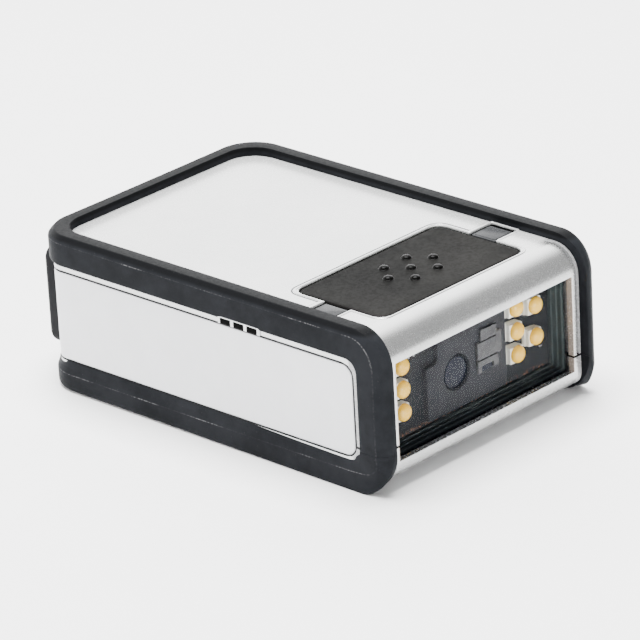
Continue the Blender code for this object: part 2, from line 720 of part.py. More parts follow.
def light_centre(side):
    """Centre of a status light's stem."""
    inner, outer = light_span()
    return side * (inner + outer) / 2, WINDOW_Y + (LIGHT_FRONT + LIGHT_BACK) / 2


def rear_port(name):
    """Opening in the back wall that the cable socket passes through."""
    return block(name, (-PORT_HALF_X, CAVITY_BACK_Y - CLEAR, PORT_BOTTOM_Z),
                 (PORT_HALF_X, REAR_Y, PORT_TOP_Z))


def rim_grooves():
    """Fine groove that sets off a bead along both edges of the hood."""
    grooves = []
    centre = (WINDOW_Y + HOOD_RADIUS, TOP_Z - HOOD_RADIUS)
    radius = HOOD_RADIUS - RIM_GROOVE
    inner = [(WINDOW_Y + RIM_GROOVE, LOWER_Z)]
    inner += arc(centre, radius, 180, 90, LARGE_ARC)
    outer = arc(centre, HOOD_RADIUS + OVERCUT, 90, 180, LARGE_ARC)
    outer.append((WINDOW_Y - OVERCUT, LOWER_Z))
    for label, side in (("left", -1), ("right", 1)):
        place = (side * (CORE_X - RIM_BEAD - RIM_GROOVE / 2), 0.0, 0.0)
        grooves.append(flat_outline("rim_groove_" + label, inner + outer, RIM_GROOVE,
                                    across_x(place)))
    return grooves


def vent_notches():
    """Three small vents through the bead over the left panel."""
    result = []
    for index in range(VENT_COUNT):
        centre = WINDOW_Y + VENT_CENTRE + (index - (VENT_COUNT - 1) / 2) * VENT_PITCH
        result.append(block(f"vent_{index + 1}",
                            (-FLARE_X - OVERCUT, centre - VENT_WIDTH / 2, PANEL_TOP_Z),
                            (-FLARE_X + VENT_DEPTH, centre + VENT_WIDTH / 2, FLARE_TOP_Z - CLEAR)))
    return result


def build_bottom_shell(finish):
    """Floor, chin below the window and low walls, with bosses and board posts."""
    shell = block("bottom_shell", (-CORE_X, WINDOW_Y, BASE_Z), (CORE_X, CORE_BACK_Y, LOWER_Z),
                  (("Z", 0, 1, CORE_TAIL_RADIUS, MEDIUM_ARC),
                   ("X", -1, -1, CHIN_RADIUS, MEDIUM_ARC)))
    flare = block("bottom_flare", (-FLARE_X, FLARE_FRONT_Y, FLARE_BOTTOM_Z),
                  (FLARE_X, FLARE_BACK_Y, LOWER_Z),
                  (("Z", 0, 1, FLARE_TAIL_RADIUS, MEDIUM_ARC),
                   ("X", -1, -1, PANEL_CORNER + CLEAR, SMALL_ARC)))
    cavity = block("bottom_cavity", (-CAVITY_X, CAVITY_FRONT_Y, CAVITY_BOTTOM_Z),
                   (CAVITY_X, CAVITY_BACK_Y, LOWER_Z + OVERCUT))
    add(shell, flare)
    cut(shell, cavity)
    floor = CAVITY_BOTTOM_Z - CLEAR
    for number, place in enumerate(boss_places(), 1):
        add(shell, cylinder(f"bottom_boss_{number}", SCREW_HEAD_RADIUS + WALL, floor,
                            BOARD_Z - CLEAR, place))
    for number, place in enumerate(insert_places(), 1):
        add(shell, cylinder(f"insert_boss_{number}", INSERT_RADIUS + WALL, floor,
                            BOARD_Z - CLEAR, place))
    rib_y = (LAMP_BOARD_Y - CLEAR, LAMP_BOARD_Y + LAMP_BOARD_THICK + CLEAR)
    add(shell, block("lamp_board_rib", (-CAVITY_X - CLEAR, rib_y[0], floor),
                     (CAVITY_X + CLEAR, rib_y[1], WINDOW_BOTTOM_Z - CLEAR)))
    rest_y = LAMP_BOARD_Y + LAMP_BOARD_THICK + CLEAR + IMAGER_DEPTH / 2
    add(shell, block("imager_rest", (IMAGER_CENTRE_X - IMAGER_WIDTH / 2, rest_y - WALL, floor),
                     (IMAGER_CENTRE_X + IMAGER_WIDTH / 2, rest_y + WALL, IMAGER_BOTTOM_Z - CLEAR)))
    cut(shell, *window_cutters("bottom"), *panel_pockets("bottom_pocket"))
    for number, place in enumerate(boss_places(), 1):
        cut(shell, cylinder(f"screw_hole_{number}", SCREW_RADIUS + CLEAR, BASE_Z - OVERCUT,
                            BOARD_Z + CLEAR, place),
            cylinder(f"screw_seat_{number}", SCREW_HEAD_RADIUS + CLEAR, BASE_Z - OVERCUT,
                     SHELL_SCREW_Z + SCREW_HEAD_HEIGHT + CLEAR, place))
    for number, place in enumerate(insert_places(), 1):
        cut(shell, cylinder(f"insert_hole_{number}", INSERT_RADIUS + CLEAR, BASE_Z - OVERCUT,
                            BASE_Z + INSERT_LENGTH + CLEAR, place))
    return dress(shell, finish)


def build_window_pane(finish):
    """Clear pane seated behind the window's lip."""
    pane = block("window_pane", (-PANE_HALF_X, PANE_FRONT_Y, WINDOW_BOTTOM_Z - PANE_MARGIN),
                 (PANE_HALF_X, PANE_FRONT_Y + PANE_THICK, WINDOW_TOP_Z + PANE_MARGIN))
    return dress(pane, finish)


def build_window_gasket(finish):
    """Black frame that presses the pane to the lip and hides the light path's edge."""
    outer = PANE_HALF_X
    low, high = WINDOW_BOTTOM_Z - PANE_MARGIN, WINDOW_TOP_Z + PANE_MARGIN
    gasket = block("window_gasket", (-outer, GASKET_FRONT_Y, low), (outer, GASKET_BACK_Y, high))
    hole = block("gasket_hole",
                 (-outer + GASKET_RAIL, GASKET_FRONT_Y - OVERCUT, low + GASKET_RAIL),
                 (outer - GASKET_RAIL, GASKET_BACK_Y + OVERCUT, high - GASKET_RAIL))
    return dress(cut(gasket, hole), finish)


def lamp_places():
    """Centres of the eight lamps as (x, z), left column, right column, edge pair."""
    places = []
    for x, raised, pitch, count in ((LAMP_LEFT_X, LAMP_LEFT_RAISE, LAMP_PITCH_SHARE, 3),
                                    (LAMP_RIGHT_X, LAMP_RIGHT_RAISE, LAMP_PITCH_SHARE, 3),
                                    (LAMP_EDGE_X, LAMP_EDGE_RAISE, LAMP_EDGE_PITCH_SHARE, 2)):
        for row in range(count):
            share = raised + (row - (count - 1) / 2) * pitch
            places.append((x, WINDOW_MID_Z + WINDOW_HEIGHT * share))
    return places


def build_lamp_board(finish):
    """Upright board behind the window, with the hole that the lens looks through."""
    board = block("lamp_board", (CLEAR - CAVITY_X, LAMP_BOARD_Y, WINDOW_BOTTOM_Z),
                  (CAVITY_X - CLEAR, LAMP_BOARD_Y + LAMP_BOARD_THICK, WINDOW_TOP_Z - CLEAR))
    hole = cylinder("lens_hole", BARREL_RADIUS + CLEAR, LAMP_BOARD_Y - OVERCUT,
                    LAMP_BOARD_Y + OVERCUT, (LENS_X, LENS_Z), "Y")
    return dress(cut(board, hole), finish)


def build_lamps(body_finish, dome_finish):
    """White lamp bodies on the board, each under a clear amber dome."""
    body_back = LAMP_BOARD_Y - CLEAR
    body_front = body_back - LAMP_BODY_DEPTH
    for number, (x, z) in enumerate(lamp_places(), 1):
        body = block(f"lamp_body_{number}",
                     (x - LAMP_BODY_WIDTH / 2, body_front, z - LAMP_BODY_HEIGHT / 2),
                     (x + LAMP_BODY_WIDTH / 2, body_back, z + LAMP_BODY_HEIGHT / 2),
                     (("Y", 0, 0, LAMP_BODY_CHAMFER, 1),))
        dress(body, body_finish)
        dome = turned(f"lamp_dome_{number}", dome_profile(), (x, body_front - CLEAR, z), DOT_STEPS)
        dome.rotation_euler = (math.pi / 2, 0.0, 0.0)
        dress(dome, dome_finish)


def dome_profile():
    """Half section of a lamp dome: a hemisphere on a short round foot."""
    arc_points = arc((0.0, LAMP_DOME_BASE), LAMP_DOME_RADIUS, 90, 0, MEDIUM_ARC)
    arc_points[0] = (0.0, LAMP_DOME_BASE + LAMP_DOME_RADIUS)
    return arc_points + [(LAMP_DOME_RADIUS, 0.0), (0.0, 0.0)]


def build_imager(bezel_finish, housing_finish, barrel_finish, glass_finish):
    """Front bezel, camera block behind the lamp board, lens barrel and its lens."""
    bezel_back = LAMP_BOARD_Y - CLEAR
    bezel_front = bezel_back - BEZEL_THICK
    bezel = block("imager_bezel", (BEZEL_LEFT_X, bezel_front, BEZEL_BOTTOM_Z),
                  (BEZEL_RIGHT_X, bezel_back, BEZEL_TOP_Z))
    step = block("bezel_step",
                 (BEZEL_LEFT_X - OVERCUT, bezel_front - OVERCUT, BEZEL_TOP_Z - BEZEL_STEP_Z),
                 (BEZEL_LEFT_X + BEZEL_STEP_X, bezel_back + OVERCUT, BEZEL_TOP_Z + OVERCUT),
                 (("Y", 1, -1, BEZEL_STEP_RADIUS, SMALL_ARC),))
    lens_hole = cylinder("bezel_hole", BARREL_RADIUS + CLEAR, bezel_front - OVERCUT,
                         bezel_back + OVERCUT, (LENS_X, LENS_Z), "Y")
    dress(cut(bezel, step, lens_hole), bezel_finish)

    block_front = LAMP_BOARD_Y + LAMP_BOARD_THICK + CLEAR
    barrel_front = bezel_front + BARREL_RECESS
    barrel_back = barrel_front + BARREL_LENGTH
    housing = block("imager_housing",
                    (IMAGER_CENTRE_X - IMAGER_WIDTH / 2, block_front, IMAGER_BOTTOM_Z),
                    (IMAGER_CENTRE_X + IMAGER_WIDTH / 2, block_front + IMAGER_DEPTH, IMAGER_TOP_Z))
    bore = cylinder("barrel_bore", BARREL_RADIUS + CLEAR, block_front - OVERCUT,
                    barrel_back + CLEAR, (LENS_X, LENS_Z), "Y")
    dress(cut(housing, bore), housing_finish)

    barrel = cylinder("lens_barrel", BARREL_RADIUS, barrel_front, barrel_back, (LENS_X, LENS_Z), "Y")
    seat_back = barrel_front + LENS_RECESS + LENS_THICK + CLEAR
    lens_seat = cylinder("lens_seat", LENS_RADIUS + CLEAR, barrel_front - OVERCUT, seat_back,
                         (LENS_X, LENS_Z), "Y")
    dress(cut(barrel, lens_seat), barrel_finish)

    lens = turned("imager_lens", lens_profile(), (LENS_X, barrel_front + LENS_RECESS, LENS_Z))
    lens.rotation_euler = (math.pi / 2, 0.0, 0.0)
    dress(lens, glass_finish)
    return bezel_front


def lens_profile():
    """Half section of the lens: a shallow dome in front of a flat back."""
    crown = [(LENS_RADIUS * index / MEDIUM_ARC, -LENS_RISE * (index / MEDIUM_ARC) ** 2)
             for index in range(MEDIUM_ARC + 1)]
    return crown + [(LENS_RADIUS, -LENS_THICK), (0.0, -LENS_THICK)]


def build_aimer_lens(face_y, finish):
    """Moulded aiming lens on the bezel: a stack of ledges that step back towards the top."""
    rise = AIMER_HEIGHT / AIMER_STEPS
    back = face_y - CLEAR
    points = [(back, 0.0), (back, AIMER_HEIGHT)]
    for index in range(AIMER_STEPS, 0, -1):
        depth = AIMER_DEPTH * (1.0 - (index - 1) / (AIMER_STEPS + 1))
        points.append((back - depth, rise * index))
        points.append((back - depth, rise * (index - 1)))
    place = (BEZEL_RIGHT_X - AIMER_EDGE - AIMER_WIDTH / 2, 0.0, AIMER_BOTTOM_Z)
    return dress(flat_outline("aimer_lens", points, AIMER_WIDTH, across_x(place)), finish)


def build_trigger(pad_finish, carrier_finish, plunger_finish):
    """Dotted rubber pad, the hard carrier with its stem, and the switch plunger."""
    pad = block("trigger_pad", (-PAD_HALF_X, WINDOW_Y + PAD_FRONT, PAD_BASE_Z),
                (PAD_HALF_X, WINDOW_Y + PAD_BACK, PAD_TOP_Z),
                (("Z", 0, 0, PAD_CORNER, SMALL_ARC),))
    for number, (x, y) in enumerate(dot_places(), 1):
        add(pad, turned(f"pad_dot_{number}", dot_profile(), (x, y, PAD_TOP_Z), DOT_STEPS))
    dress(pad, pad_finish)

    half = PAD_HALF_X - CARRIER_MARGIN
    carrier = block("pad_carrier",
                    (-half, WINDOW_Y + PAD_FRONT + CARRIER_MARGIN, CARRIER_BASE_Z),
                    (half, WINDOW_Y + PAD_BACK - CARRIER_MARGIN, CARRIER_TOP_Z),
                    (("Z", 0, 0, PAD_CORNER - CARRIER_MARGIN, SMALL_ARC),))
    stem = cylinder("carrier_stem", STEM_RADIUS, STEM_BOTTOM_Z, CARRIER_BASE_Z + CARRIER_THICK / 2,
                    (0.0, PAD_CENTRE_Y))
    dress(add(carrier, stem), carrier_finish)

    top = STEM_BOTTOM_Z - CLEAR
    plunger = cylinder("switch_plunger", PLUNGER_RADIUS, top - PLUNGER_HEIGHT, top,
                       (0.0, PAD_CENTRE_Y), steps=DOT_STEPS)
    dress(plunger, plunger_finish)


def dot_places():
    """Centres of the raised dots: rows of two, three and two."""
    places = []
    for row, count in enumerate(PAD_DOT_ROWS):
        y = PAD_CENTRE_Y + (row - (len(PAD_DOT_ROWS) - 1) / 2) * PAD_DOT_PITCH_Y
        places += [((column - (count - 1) / 2) * PAD_DOT_PITCH_X, y) for column in range(count)]
    return places


def dot_profile():
    """Half section of a raised dot, with a root sunk into the pad."""
    crown = [(PAD_DOT_RADIUS * math.sin(angle), PAD_DOT_HEIGHT * math.cos(angle))
             for angle in (math.pi / 2 * index / SMALL_ARC for index in range(SMALL_ARC + 1))]
    return crown + [(PAD_DOT_RADIUS, -PAD_DOT_ROOT), (0.0, -PAD_DOT_ROOT)]


def build_switch(board_finish, housing_finish):
    """Small board over the camera block with the push switch under the pad's stem."""
    half_x = CAVITY_X - CLEAR
    board = block("trigger_board", (-half_x, WINDOW_Y + TRIGGER_BOARD_FRONT, TRIGGER_BOARD_Z),
                  (half_x, WINDOW_Y + TRIGGER_BOARD_BACK, TRIGGER_BOARD_Z + TRIGGER_BOARD_THICK))
    dress(board, board_finish)
    half = SWITCH_SIZE / 2
    housing = block("switch_housing", (-half, PAD_CENTRE_Y - half, SWITCH_Z),
                    (half, PAD_CENTRE_Y + half, SWITCH_TOP_Z))
    well = cylinder("plunger_well", PLUNGER_RADIUS + CLEAR, SWITCH_Z - OVERCUT,
                    SWITCH_TOP_Z + OVERCUT, (0.0, PAD_CENTRE_Y), steps=DOT_STEPS)
    dress(cut(housing, well), housing_finish)


def build_status_lights(light_finish, lamp_finish):
    """Milky light window with a stem on each side of the pad, over a small lamp."""
    inner, outer = light_span()
    for label, side in (("left", -1), ("right", 1)):
        ends = sorted((side * (inner + CLEAR), side * (outer - CLEAR)))
        head = block("status_light_" + label,
                     (ends[0], WINDOW_Y + LIGHT_FRONT, light_base_z()),
                     (ends[1], WINDOW_Y + LIGHT_BACK, TOP_Z - LIGHT_SUNK))
        lamp_top = TRIGGER_BOARD_Z + TRIGGER_BOARD_THICK + CLEAR + LIGHT_LAMP_HEIGHT
        stem = cylinder("light_stem_" + label, LIGHT_STEM_RADIUS, lamp_top + CLEAR,
                        light_base_z() + LIGHT_THICK / 2, light_centre(side), steps=DOT_STEPS)
        dress(add(head, stem), light_finish)
        x, y = light_centre(side)
        half = LIGHT_LAMP_SIZE / 2
        lamp = block("status_lamp_" + label, (x - half, y - half, lamp_top - LIGHT_LAMP_HEIGHT),
                     (x + half, y + half, lamp_top))
        dress(lamp, lamp_finish)


def build_main_board(board_finish, chip_finish, metal_finish, connector_finish, ribbon_finish):
    """Decoder board with its chips, beeper and the ribbon from the camera."""
    board = block("main_board", (-BOARD_HALF_X, BOARD_FRONT_Y, BOARD_Z),
                  (BOARD_HALF_X, BOARD_BACK_Y, BOARD_TOP_Z))
    for number, place in enumerate(boss_places(), 1):
        cut(board, cylinder(f"board_hole_{number}", SCREW_RADIUS + CLEAR, BOARD_Z - OVERCUT,
                            BOARD_TOP_Z + OVERCUT, place))
    dress(board, board_finish)

    base = BOARD_TOP_Z + CLEAR
    row_y = BOARD_FRONT_Y + 2 * CONNECTOR_DEPTH + 2 * PART_GAP
    beeper_place = (BOARD_HALF_X - BEEPER_RADIUS - PART_GAP, row_y + BEEPER_RADIUS)
    memory_x = beeper_place[0] - BEEPER_RADIUS - PART_GAP - MEMORY_WIDTH
    chip_x = memory_x - PART_GAP - CHIP_SIZE
    chip = block("decoder_chip", (chip_x, row_y, base),
                 (chip_x + CHIP_SIZE, row_y + CHIP_SIZE, base + CHIP_HEIGHT))
    dress(chip, chip_finish)
    memory = block("memory_chip", (memory_x, row_y, base),
                   (memory_x + MEMORY_WIDTH, row_y + MEMORY_LENGTH, base + CHIP_HEIGHT))
    dress(memory, chip_finish)
    beeper = cylinder("beeper", BEEPER_RADIUS, base, base + BEEPER_HEIGHT, beeper_place)
    mouth = cylinder("beeper_mouth", BEEPER_HOLE_RADIUS, base + BEEPER_HEIGHT / 2,
                     base + BEEPER_HEIGHT + OVERCUT, beeper_place, steps=DOT_STEPS)
    dress(cut(beeper, mouth), metal_finish)

    imager_back = LAMP_BOARD_Y + LAMP_BOARD_THICK + CLEAR + IMAGER_DEPTH
    connector_y = BOARD_FRONT_Y + CONNECTOR_DEPTH
    connector = block("ribbon_connector", (-CONNECTOR_WIDTH / 2, connector_y, base),
                      (CONNECTOR_WIDTH / 2, connector_y + CONNECTOR_DEPTH, base + CONNECTOR_HEIGHT))
    dress(connector, connector_finish)
    build_ribbon(imager_back + CLEAR, connector_y - CLEAR, base + CONNECTOR_HEIGHT / 2, ribbon_finish)


def build_ribbon(front, back, low, finish):
    """Flat ribbon that drops from the camera block and turns back to its connector."""
    half = RIBBON_THICK / 2
    middle = front + half
    turn = (middle + RIBBON_BEND, low + RIBBON_BEND)
    inner = arc(turn, RIBBON_BEND - half, 180, 270, SMALL_ARC)
    outer = arc(turn, RIBBON_BEND + half, 270, 180, SMALL_ARC)
    points = [(middle + half, RIBBON_TOP_Z)] + inner
    points += [(back, low + half), (back, low - half)]
    points += outer + [(middle - half, RIBBON_TOP_Z)]
    ribbon = flat_outline("imager_ribbon", points, RIBBON_WIDTH, across_x((0.0, 0.0, 0.0)))
    return dress(ribbon, finish)


def build_screws(screw_finish, insert_finish):
    """Four shell screws set in the base, and two threaded inserts for a bracket."""
    profile = [(0.0, SCREW_LENGTH), (SCREW_RADIUS, SCREW_LENGTH),
               (SCREW_RADIUS, SCREW_HEAD_HEIGHT),
               (SCREW_HEAD_RADIUS, SCREW_HEAD_HEIGHT), (SCREW_HEAD_RADIUS, 0.0),
               (SCREW_SOCKET_RADIUS, 0.0), (SCREW_SOCKET_RADIUS, SCREW_SOCKET_DEPTH),
               (0.0, SCREW_SOCKET_DEPTH)]
    for number, (x, y) in enumerate(boss_places(), 1):
        dress(turned(f"shell_screw_{number}", profile, (x, y, SHELL_SCREW_Z), DOT_STEPS), screw_finish)
    for number, place in enumerate(insert_places(), 1):
        insert = cylinder(f"mounting_insert_{number}", INSERT_RADIUS, BASE_Z,
                          BASE_Z + INSERT_LENGTH, place)
        bore = cylinder(f"insert_bore_{number}", INSERT_BORE_RADIUS, BASE_Z - OVERCUT,
                        BASE_Z + INSERT_LENGTH + OVERCUT, place)
        dress(cut(insert, bore), insert_finish)


def build_rear_cap(finish):
    """Black cap over the back with the cable aperture and two snap tabs."""
    cap = block("rear_cap", (-CAP_HALF_X, CAP_FRONT_Y, CAP_BOTTOM_Z), (CAP_HALF_X, REAR_Y, CAP_TOP_Z),
                (("X", 1, 0, CAP_RADIUS, MEDIUM_ARC), ("Z", 0, 1, CAP_RADIUS, MEDIUM_ARC)))
    hollow = block("cap_hollow",
                   (-CAP_HALF_X + CAP_WALL, CAP_FRONT_Y - OVERCUT, CAP_BOTTOM_Z + CAP_WALL),
                   (CAP_HALF_X - CAP_WALL, REAR_Y - CAP_WALL, CAP_TOP_Z - CAP_WALL))
    aperture = block("cap_aperture", (-SOCKET_HALF_X - CLEAR, REAR_Y - OVERCUT, SOCKET_Z - CLEAR),
                     (SOCKET_HALF_X + CLEAR, REAR_Y + OVERCUT, SOCKET_Z + SOCKET_HEIGHT + CLEAR))
    cut(cap, hollow, aperture)
    middle = (PORT_BOTTOM_Z + PORT_TOP_Z) / 2
    outer = PORT_HALF_X - CLEAR
    hook_back = CAVITY_BACK_Y - CLEAR
    hook_front = hook_back - CAP_HOOK_LENGTH
    low, high = middle - CAP_TAB_WIDTH / 2, middle + CAP_TAB_WIDTH / 2
    for label, side in (("left", -1), ("right", 1)):
        ends = sorted((side * (outer - CAP_TAB_THICK), side * outer))
        tab = block("cap_tab_" + label, (ends[0], hook_front - CAP_HOOK_INSET, low),
                    (ends[1], REAR_Y - CAP_WALL / 2, high))
        hooks = sorted((side * (outer - CAP_TAB_THICK / 2), side * (outer + CAP_HOOK_DEPTH)))
        hook = block("cap_hook_" + label, (hooks[0], hook_front, low + CAP_HOOK_INSET),
                     (hooks[1], hook_back, high - CAP_HOOK_INSET))
        add(cap, tab, hook)
    return dress(cap, finish)


def build_cable_socket(finish, contact_finish):
    """Modular socket on the main board with its latch slot and ten spring contacts."""
    socket = block("cable_socket", (-SOCKET_HALF_X, SOCKET_BACK_Y - SOCKET_LENGTH, SOCKET_Z),
                   (SOCKET_HALF_X, SOCKET_BACK_Y, SOCKET_Z + SOCKET_HEIGHT))
    hole_front = SOCKET_BACK_Y - SOCKET_HOLE_DEPTH
    hole_top = SOCKET_HOLE_Z + SOCKET_HOLE_HEIGHT
    hole = block("socket_hole", (-SOCKET_HOLE_HALF_X, hole_front, SOCKET_HOLE_Z),
                 (SOCKET_HOLE_HALF_X, SOCKET_BACK_Y + OVERCUT, hole_top))
    latch = block("latch_slot", (-LATCH_HALF_X, hole_front, SOCKET_HOLE_Z - LATCH_HEIGHT),
                  (LATCH_HALF_X, SOCKET_BACK_Y + OVERCUT, SOCKET_HOLE_Z + LATCH_HEIGHT))
    dress(cut(socket, hole, latch), finish)

    top = hole_top - CLEAR
    low = top - CONTACT_THICK
    front = hole_front + CLEAR
    half = (CONTACT_COUNT - 1) * CONTACT_PITCH / 2 + CONTACT_WIDTH / 2
    contacts = block("socket_contacts", (-half, front, low), (half, front + CONTACT_BAR, top))
    for index in range(CONTACT_COUNT):
        x = (index - (CONTACT_COUNT - 1) / 2) * CONTACT_PITCH
        add(contacts, block(f"contact_{index + 1}",
                            (x - CONTACT_WIDTH / 2, front + CONTACT_BAR / 2, low),
                            (x + CONTACT_WIDTH / 2, front + CONTACT_LENGTH, top)))
    dress(contacts, contact_finish)


def build_scanner():
    """Build every piece of the scanner with its material."""
    silver = material("silver_paint", (0.80, 0.81, 0.82), 0.32, 0.25)
    panel = material("panel_silver", (0.72, 0.73, 0.74), 0.35, 0.2)
    rubber = material("black_rubber", (0.035, 0.036, 0.038), 0.55)
    black = material("black_plastic", (0.03, 0.031, 0.033), 0.45)
    grey = material("grey_plastic", (0.11, 0.11, 0.12), 0.5)
    clear = material("clear_window", (0.75, 0.80, 0.82), 0.05)
    milky = material("milky_plastic", (0.35, 0.36, 0.38), 0.3)
    board = material("dark_board", (0.04, 0.045, 0.05), 0.45)
    amber = material("amber_dome", (0.85, 0.58, 0.22), 0.2)
    cream = material("cream_plastic", (0.78, 0.75, 0.66), 0.5)
    glass = material("lens_glass", (0.05, 0.06, 0.09), 0.05)
    steel = material("screw_steel", (0.45, 0.45, 0.46), 0.35, 1.0)
    brass = material("insert_brass", (0.65, 0.48, 0.22), 0.35, 1.0)
    ribbon = material("ribbon_film", (0.45, 0.24, 0.08), 0.4)

    build_top_shell(silver)
    build_bottom_shell(silver)
    build_top_bumper(rubber)
    build_bottom_bumper(rubber)
    build_side_panel("side_panel_left", -1, panel)
    build_side_panel("side_panel_right", 1, panel)
    build_window_pane(clear)
    build_window_gasket(black)
    build_lamp_board(board)
    build_lamps(cream, amber)
    face_y = build_imager(grey, black, black, glass)
    build_aimer_lens(face_y, milky)
    build_trigger(rubber, black, grey)
    build_switch(board, black)
    build_status_lights(milky, cream)
    build_main_board(board, black, steel, cream, ribbon)
    build_screws(steel, brass)
    build_rear_cap(black)
    build_cable_socket(black, brass)


clear_scene()
PARTS = new_collection("hands_free_barcode_scanner")
CUTTERS = new_collection("cutters")
build_scanner()
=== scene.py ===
"""Dressed model of a hands-free barcode scanner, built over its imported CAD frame.

Lengths in the classes below are millimetres in the frame of the CAD model: the origin is
the bottom centre, the window looks along -Y and +Z is up.
"""

import logging
import math
from dataclasses import dataclass
from enum import Enum

import bmesh
import bpy
import numpy as np
from mathutils import Matrix, Vector


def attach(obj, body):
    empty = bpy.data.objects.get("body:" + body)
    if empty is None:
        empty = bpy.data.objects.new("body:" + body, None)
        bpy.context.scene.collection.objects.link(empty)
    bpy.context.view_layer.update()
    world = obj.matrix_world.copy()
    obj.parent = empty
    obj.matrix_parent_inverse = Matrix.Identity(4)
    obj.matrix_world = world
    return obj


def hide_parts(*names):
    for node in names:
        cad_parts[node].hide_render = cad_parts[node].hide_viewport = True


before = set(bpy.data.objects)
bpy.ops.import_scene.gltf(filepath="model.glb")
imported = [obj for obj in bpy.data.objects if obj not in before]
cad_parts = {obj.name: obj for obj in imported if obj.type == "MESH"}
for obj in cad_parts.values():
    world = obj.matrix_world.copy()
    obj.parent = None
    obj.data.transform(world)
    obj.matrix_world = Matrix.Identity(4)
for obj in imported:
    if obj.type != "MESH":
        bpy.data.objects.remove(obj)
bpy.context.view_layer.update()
MM = 0.001
LOG = logging.getLogger("scanner")
Array = np.ndarray


class Body(Enum):
    """Bodies of the CAD model that a piece can ride on."""

    HOUSING = "housing"
    TRIGGER = "trigger"


class Facing(Enum):
    """Direction that the height of a flat-laid form points in, as (u, v, height) rows."""

    UP = ((1, 0, 0), (0, 1, 0), (0, 0, 1))
    DOWN = ((1, 0, 0), (0, -1, 0), (0, 0, -1))
    FRONT = ((1, 0, 0), (0, 0, 1), (0, -1, 0))
    BACK = ((-1, 0, 0), (0, 0, 1), (0, 1, 0))
    LEFT = ((0, -1, 0), (0, 0, 1), (-1, 0, 0))


# Surfaces worked out as whole arrays


def grid_faces(rows: int, columns: int, wrap_rows: bool = False,
               wrap_columns: bool = False) -> Array:
    """Quads of a grid of points, numbered row by row.

    Args:
        rows: Number of rows of points.
        columns: Number of points in a row.
        wrap_rows: Whether the last row joins the first.
        wrap_columns: Whether the last column joins the first.

    Returns:
        Array of four point numbers for each quad.
    """
    row = np.arange(rows if wrap_rows else rows - 1)[:, None]
    column = np.arange(columns if wrap_columns else columns - 1)[None, :]
    next_row, next_column = (row + 1) % rows, (column + 1) % columns
    corners = (row * columns + column, row * columns + next_column,
               next_row * columns + next_column, next_row * columns + column)
    return np.stack(np.broadcast_arrays(*corners), -1).reshape(-1, 4)


def round_corners(corners: Array, trims: Array, steps: int = 5) -> Array:
    """Replace each corner of closed outlines by a smooth bend.

    Each bend is a quadratic curve from a point one trim before the corner to a point one
    trim after it, with the corner as its handle: (1-q)^2 A + 2q(1-q) P + q^2 C. A trim never
    takes more than just under half of an edge.

    Args:
        corners: Outlines as (outline, corner, axis).
        trims: Trim of each corner as (outline, corner) or (corner,).
        steps: Points that stand for each corner.

    Returns:
        Points as (outline, corner * steps, axis).
    """
    before = np.roll(corners, 1, 1) - corners
    after = np.roll(corners, -1, 1) - corners
    reach_before = np.linalg.norm(before, axis=-1)
    reach_after = np.linalg.norm(after, axis=-1)
    limit = 0.48 * np.minimum(reach_before, reach_after)
    trim = np.minimum(np.broadcast_to(trims, limit.shape), limit)
    start = corners + before * (trim / np.maximum(reach_before, 1e-9))[..., None]
    end = corners + after * (trim / np.maximum(reach_after, 1e-9))[..., None]
    q = np.linspace(0.0, 1.0, steps)[None, None, :, None]
    bend = ((1 - q) ** 2 * start[:, :, None] + 2 * q * (1 - q) * corners[:, :, None]
            + q ** 2 * end[:, :, None])
    return bend.reshape(corners.shape[0], -1, corners.shape[2])


def evened(outline: Array, count: int) -> Array:
    """Points at even steps along a closed outline, by its running length.

    Args:
        outline: Outline as (point, axis).
        count: Number of points wanted.

    Returns:
        Points as (count, axis).
    """
    closed = np.concatenate([outline, outline[:1]])
    run = np.concatenate([[0.0], np.cumsum(np.linalg.norm(np.diff(closed, axis=0), axis=1))])
    at = np.linspace(0.0, run[-1], count, endpoint=False)
    return np.stack([np.interp(at, run, closed[:, axis]) for axis in range(outline.shape[1])], -1)


def raised(outline: Array, rows: list[tuple[float, float]]) -> Array:
    """Copies of a closed outline, one above the other, each drawn in by its own inset.

    A point moves against the outline's outward normal there: p - inset * n, with n at right
    angles to the line between the point's two neighbours.

    Args:
        outline: Outline as (point, axis), counter-clockwise.
        rows: Pairs of inset and height.

    Returns:
        Points as (row, point, axis).
    """
    along = np.roll(outline, -1, 0) - np.roll(outline, 1, 0)
    normal = np.stack([along[:, 1], -along[:, 0]], -1)
    normal /= np.maximum(np.linalg.norm(normal, axis=1), 1e-9)[:, None]
    table = np.array(rows, float)
    flat = outline[None] - table[:, 0, None, None] * normal[None]
    height = np.broadcast_to(table[:, 1, None, None], flat.shape[:2] + (1,))
    return np.concatenate([flat, height], -1)


def ring_stack(rows: list[tuple[float, ...]], steps: int = 8) -> Array:
    """Rounded rectangles of changing size, one above the other.

    Each row is (half width, half depth, corner radius, height) with the centre at the
    origin, or has the centre's two offsets after that. A corner point is the corner's
    centre plus the radius times (cos a, sin a), with a going once round.

    Args:
        rows: The rectangles in order.
        steps: Arc steps of each corner.

    Returns:
        Points as (row, point, axis).
    """
    table = np.array([tuple(row) + (0.0,) * (6 - len(row)) for row in rows], float)
    half_u, half_v, radius, height, centre_u, centre_v = (table[:, i, None] for i in range(6))
    radius = np.minimum(radius, np.minimum(half_u, half_v))
    quarter = np.repeat(np.arange(4), steps + 1)
    angle = quarter * math.pi / 2 + np.tile(np.linspace(0, math.pi / 2, steps + 1), 4)
    sign_u = np.where((quarter == 0) | (quarter == 3), 1.0, -1.0)
    sign_v = np.where(quarter < 2, 1.0, -1.0)
    u = centre_u + sign_u * (half_u - radius) + radius * np.cos(angle)
    v = centre_v + sign_v * (half_v - radius) + radius * np.sin(angle)
    return np.stack([u, v, np.broadcast_to(height, u.shape)], -1)


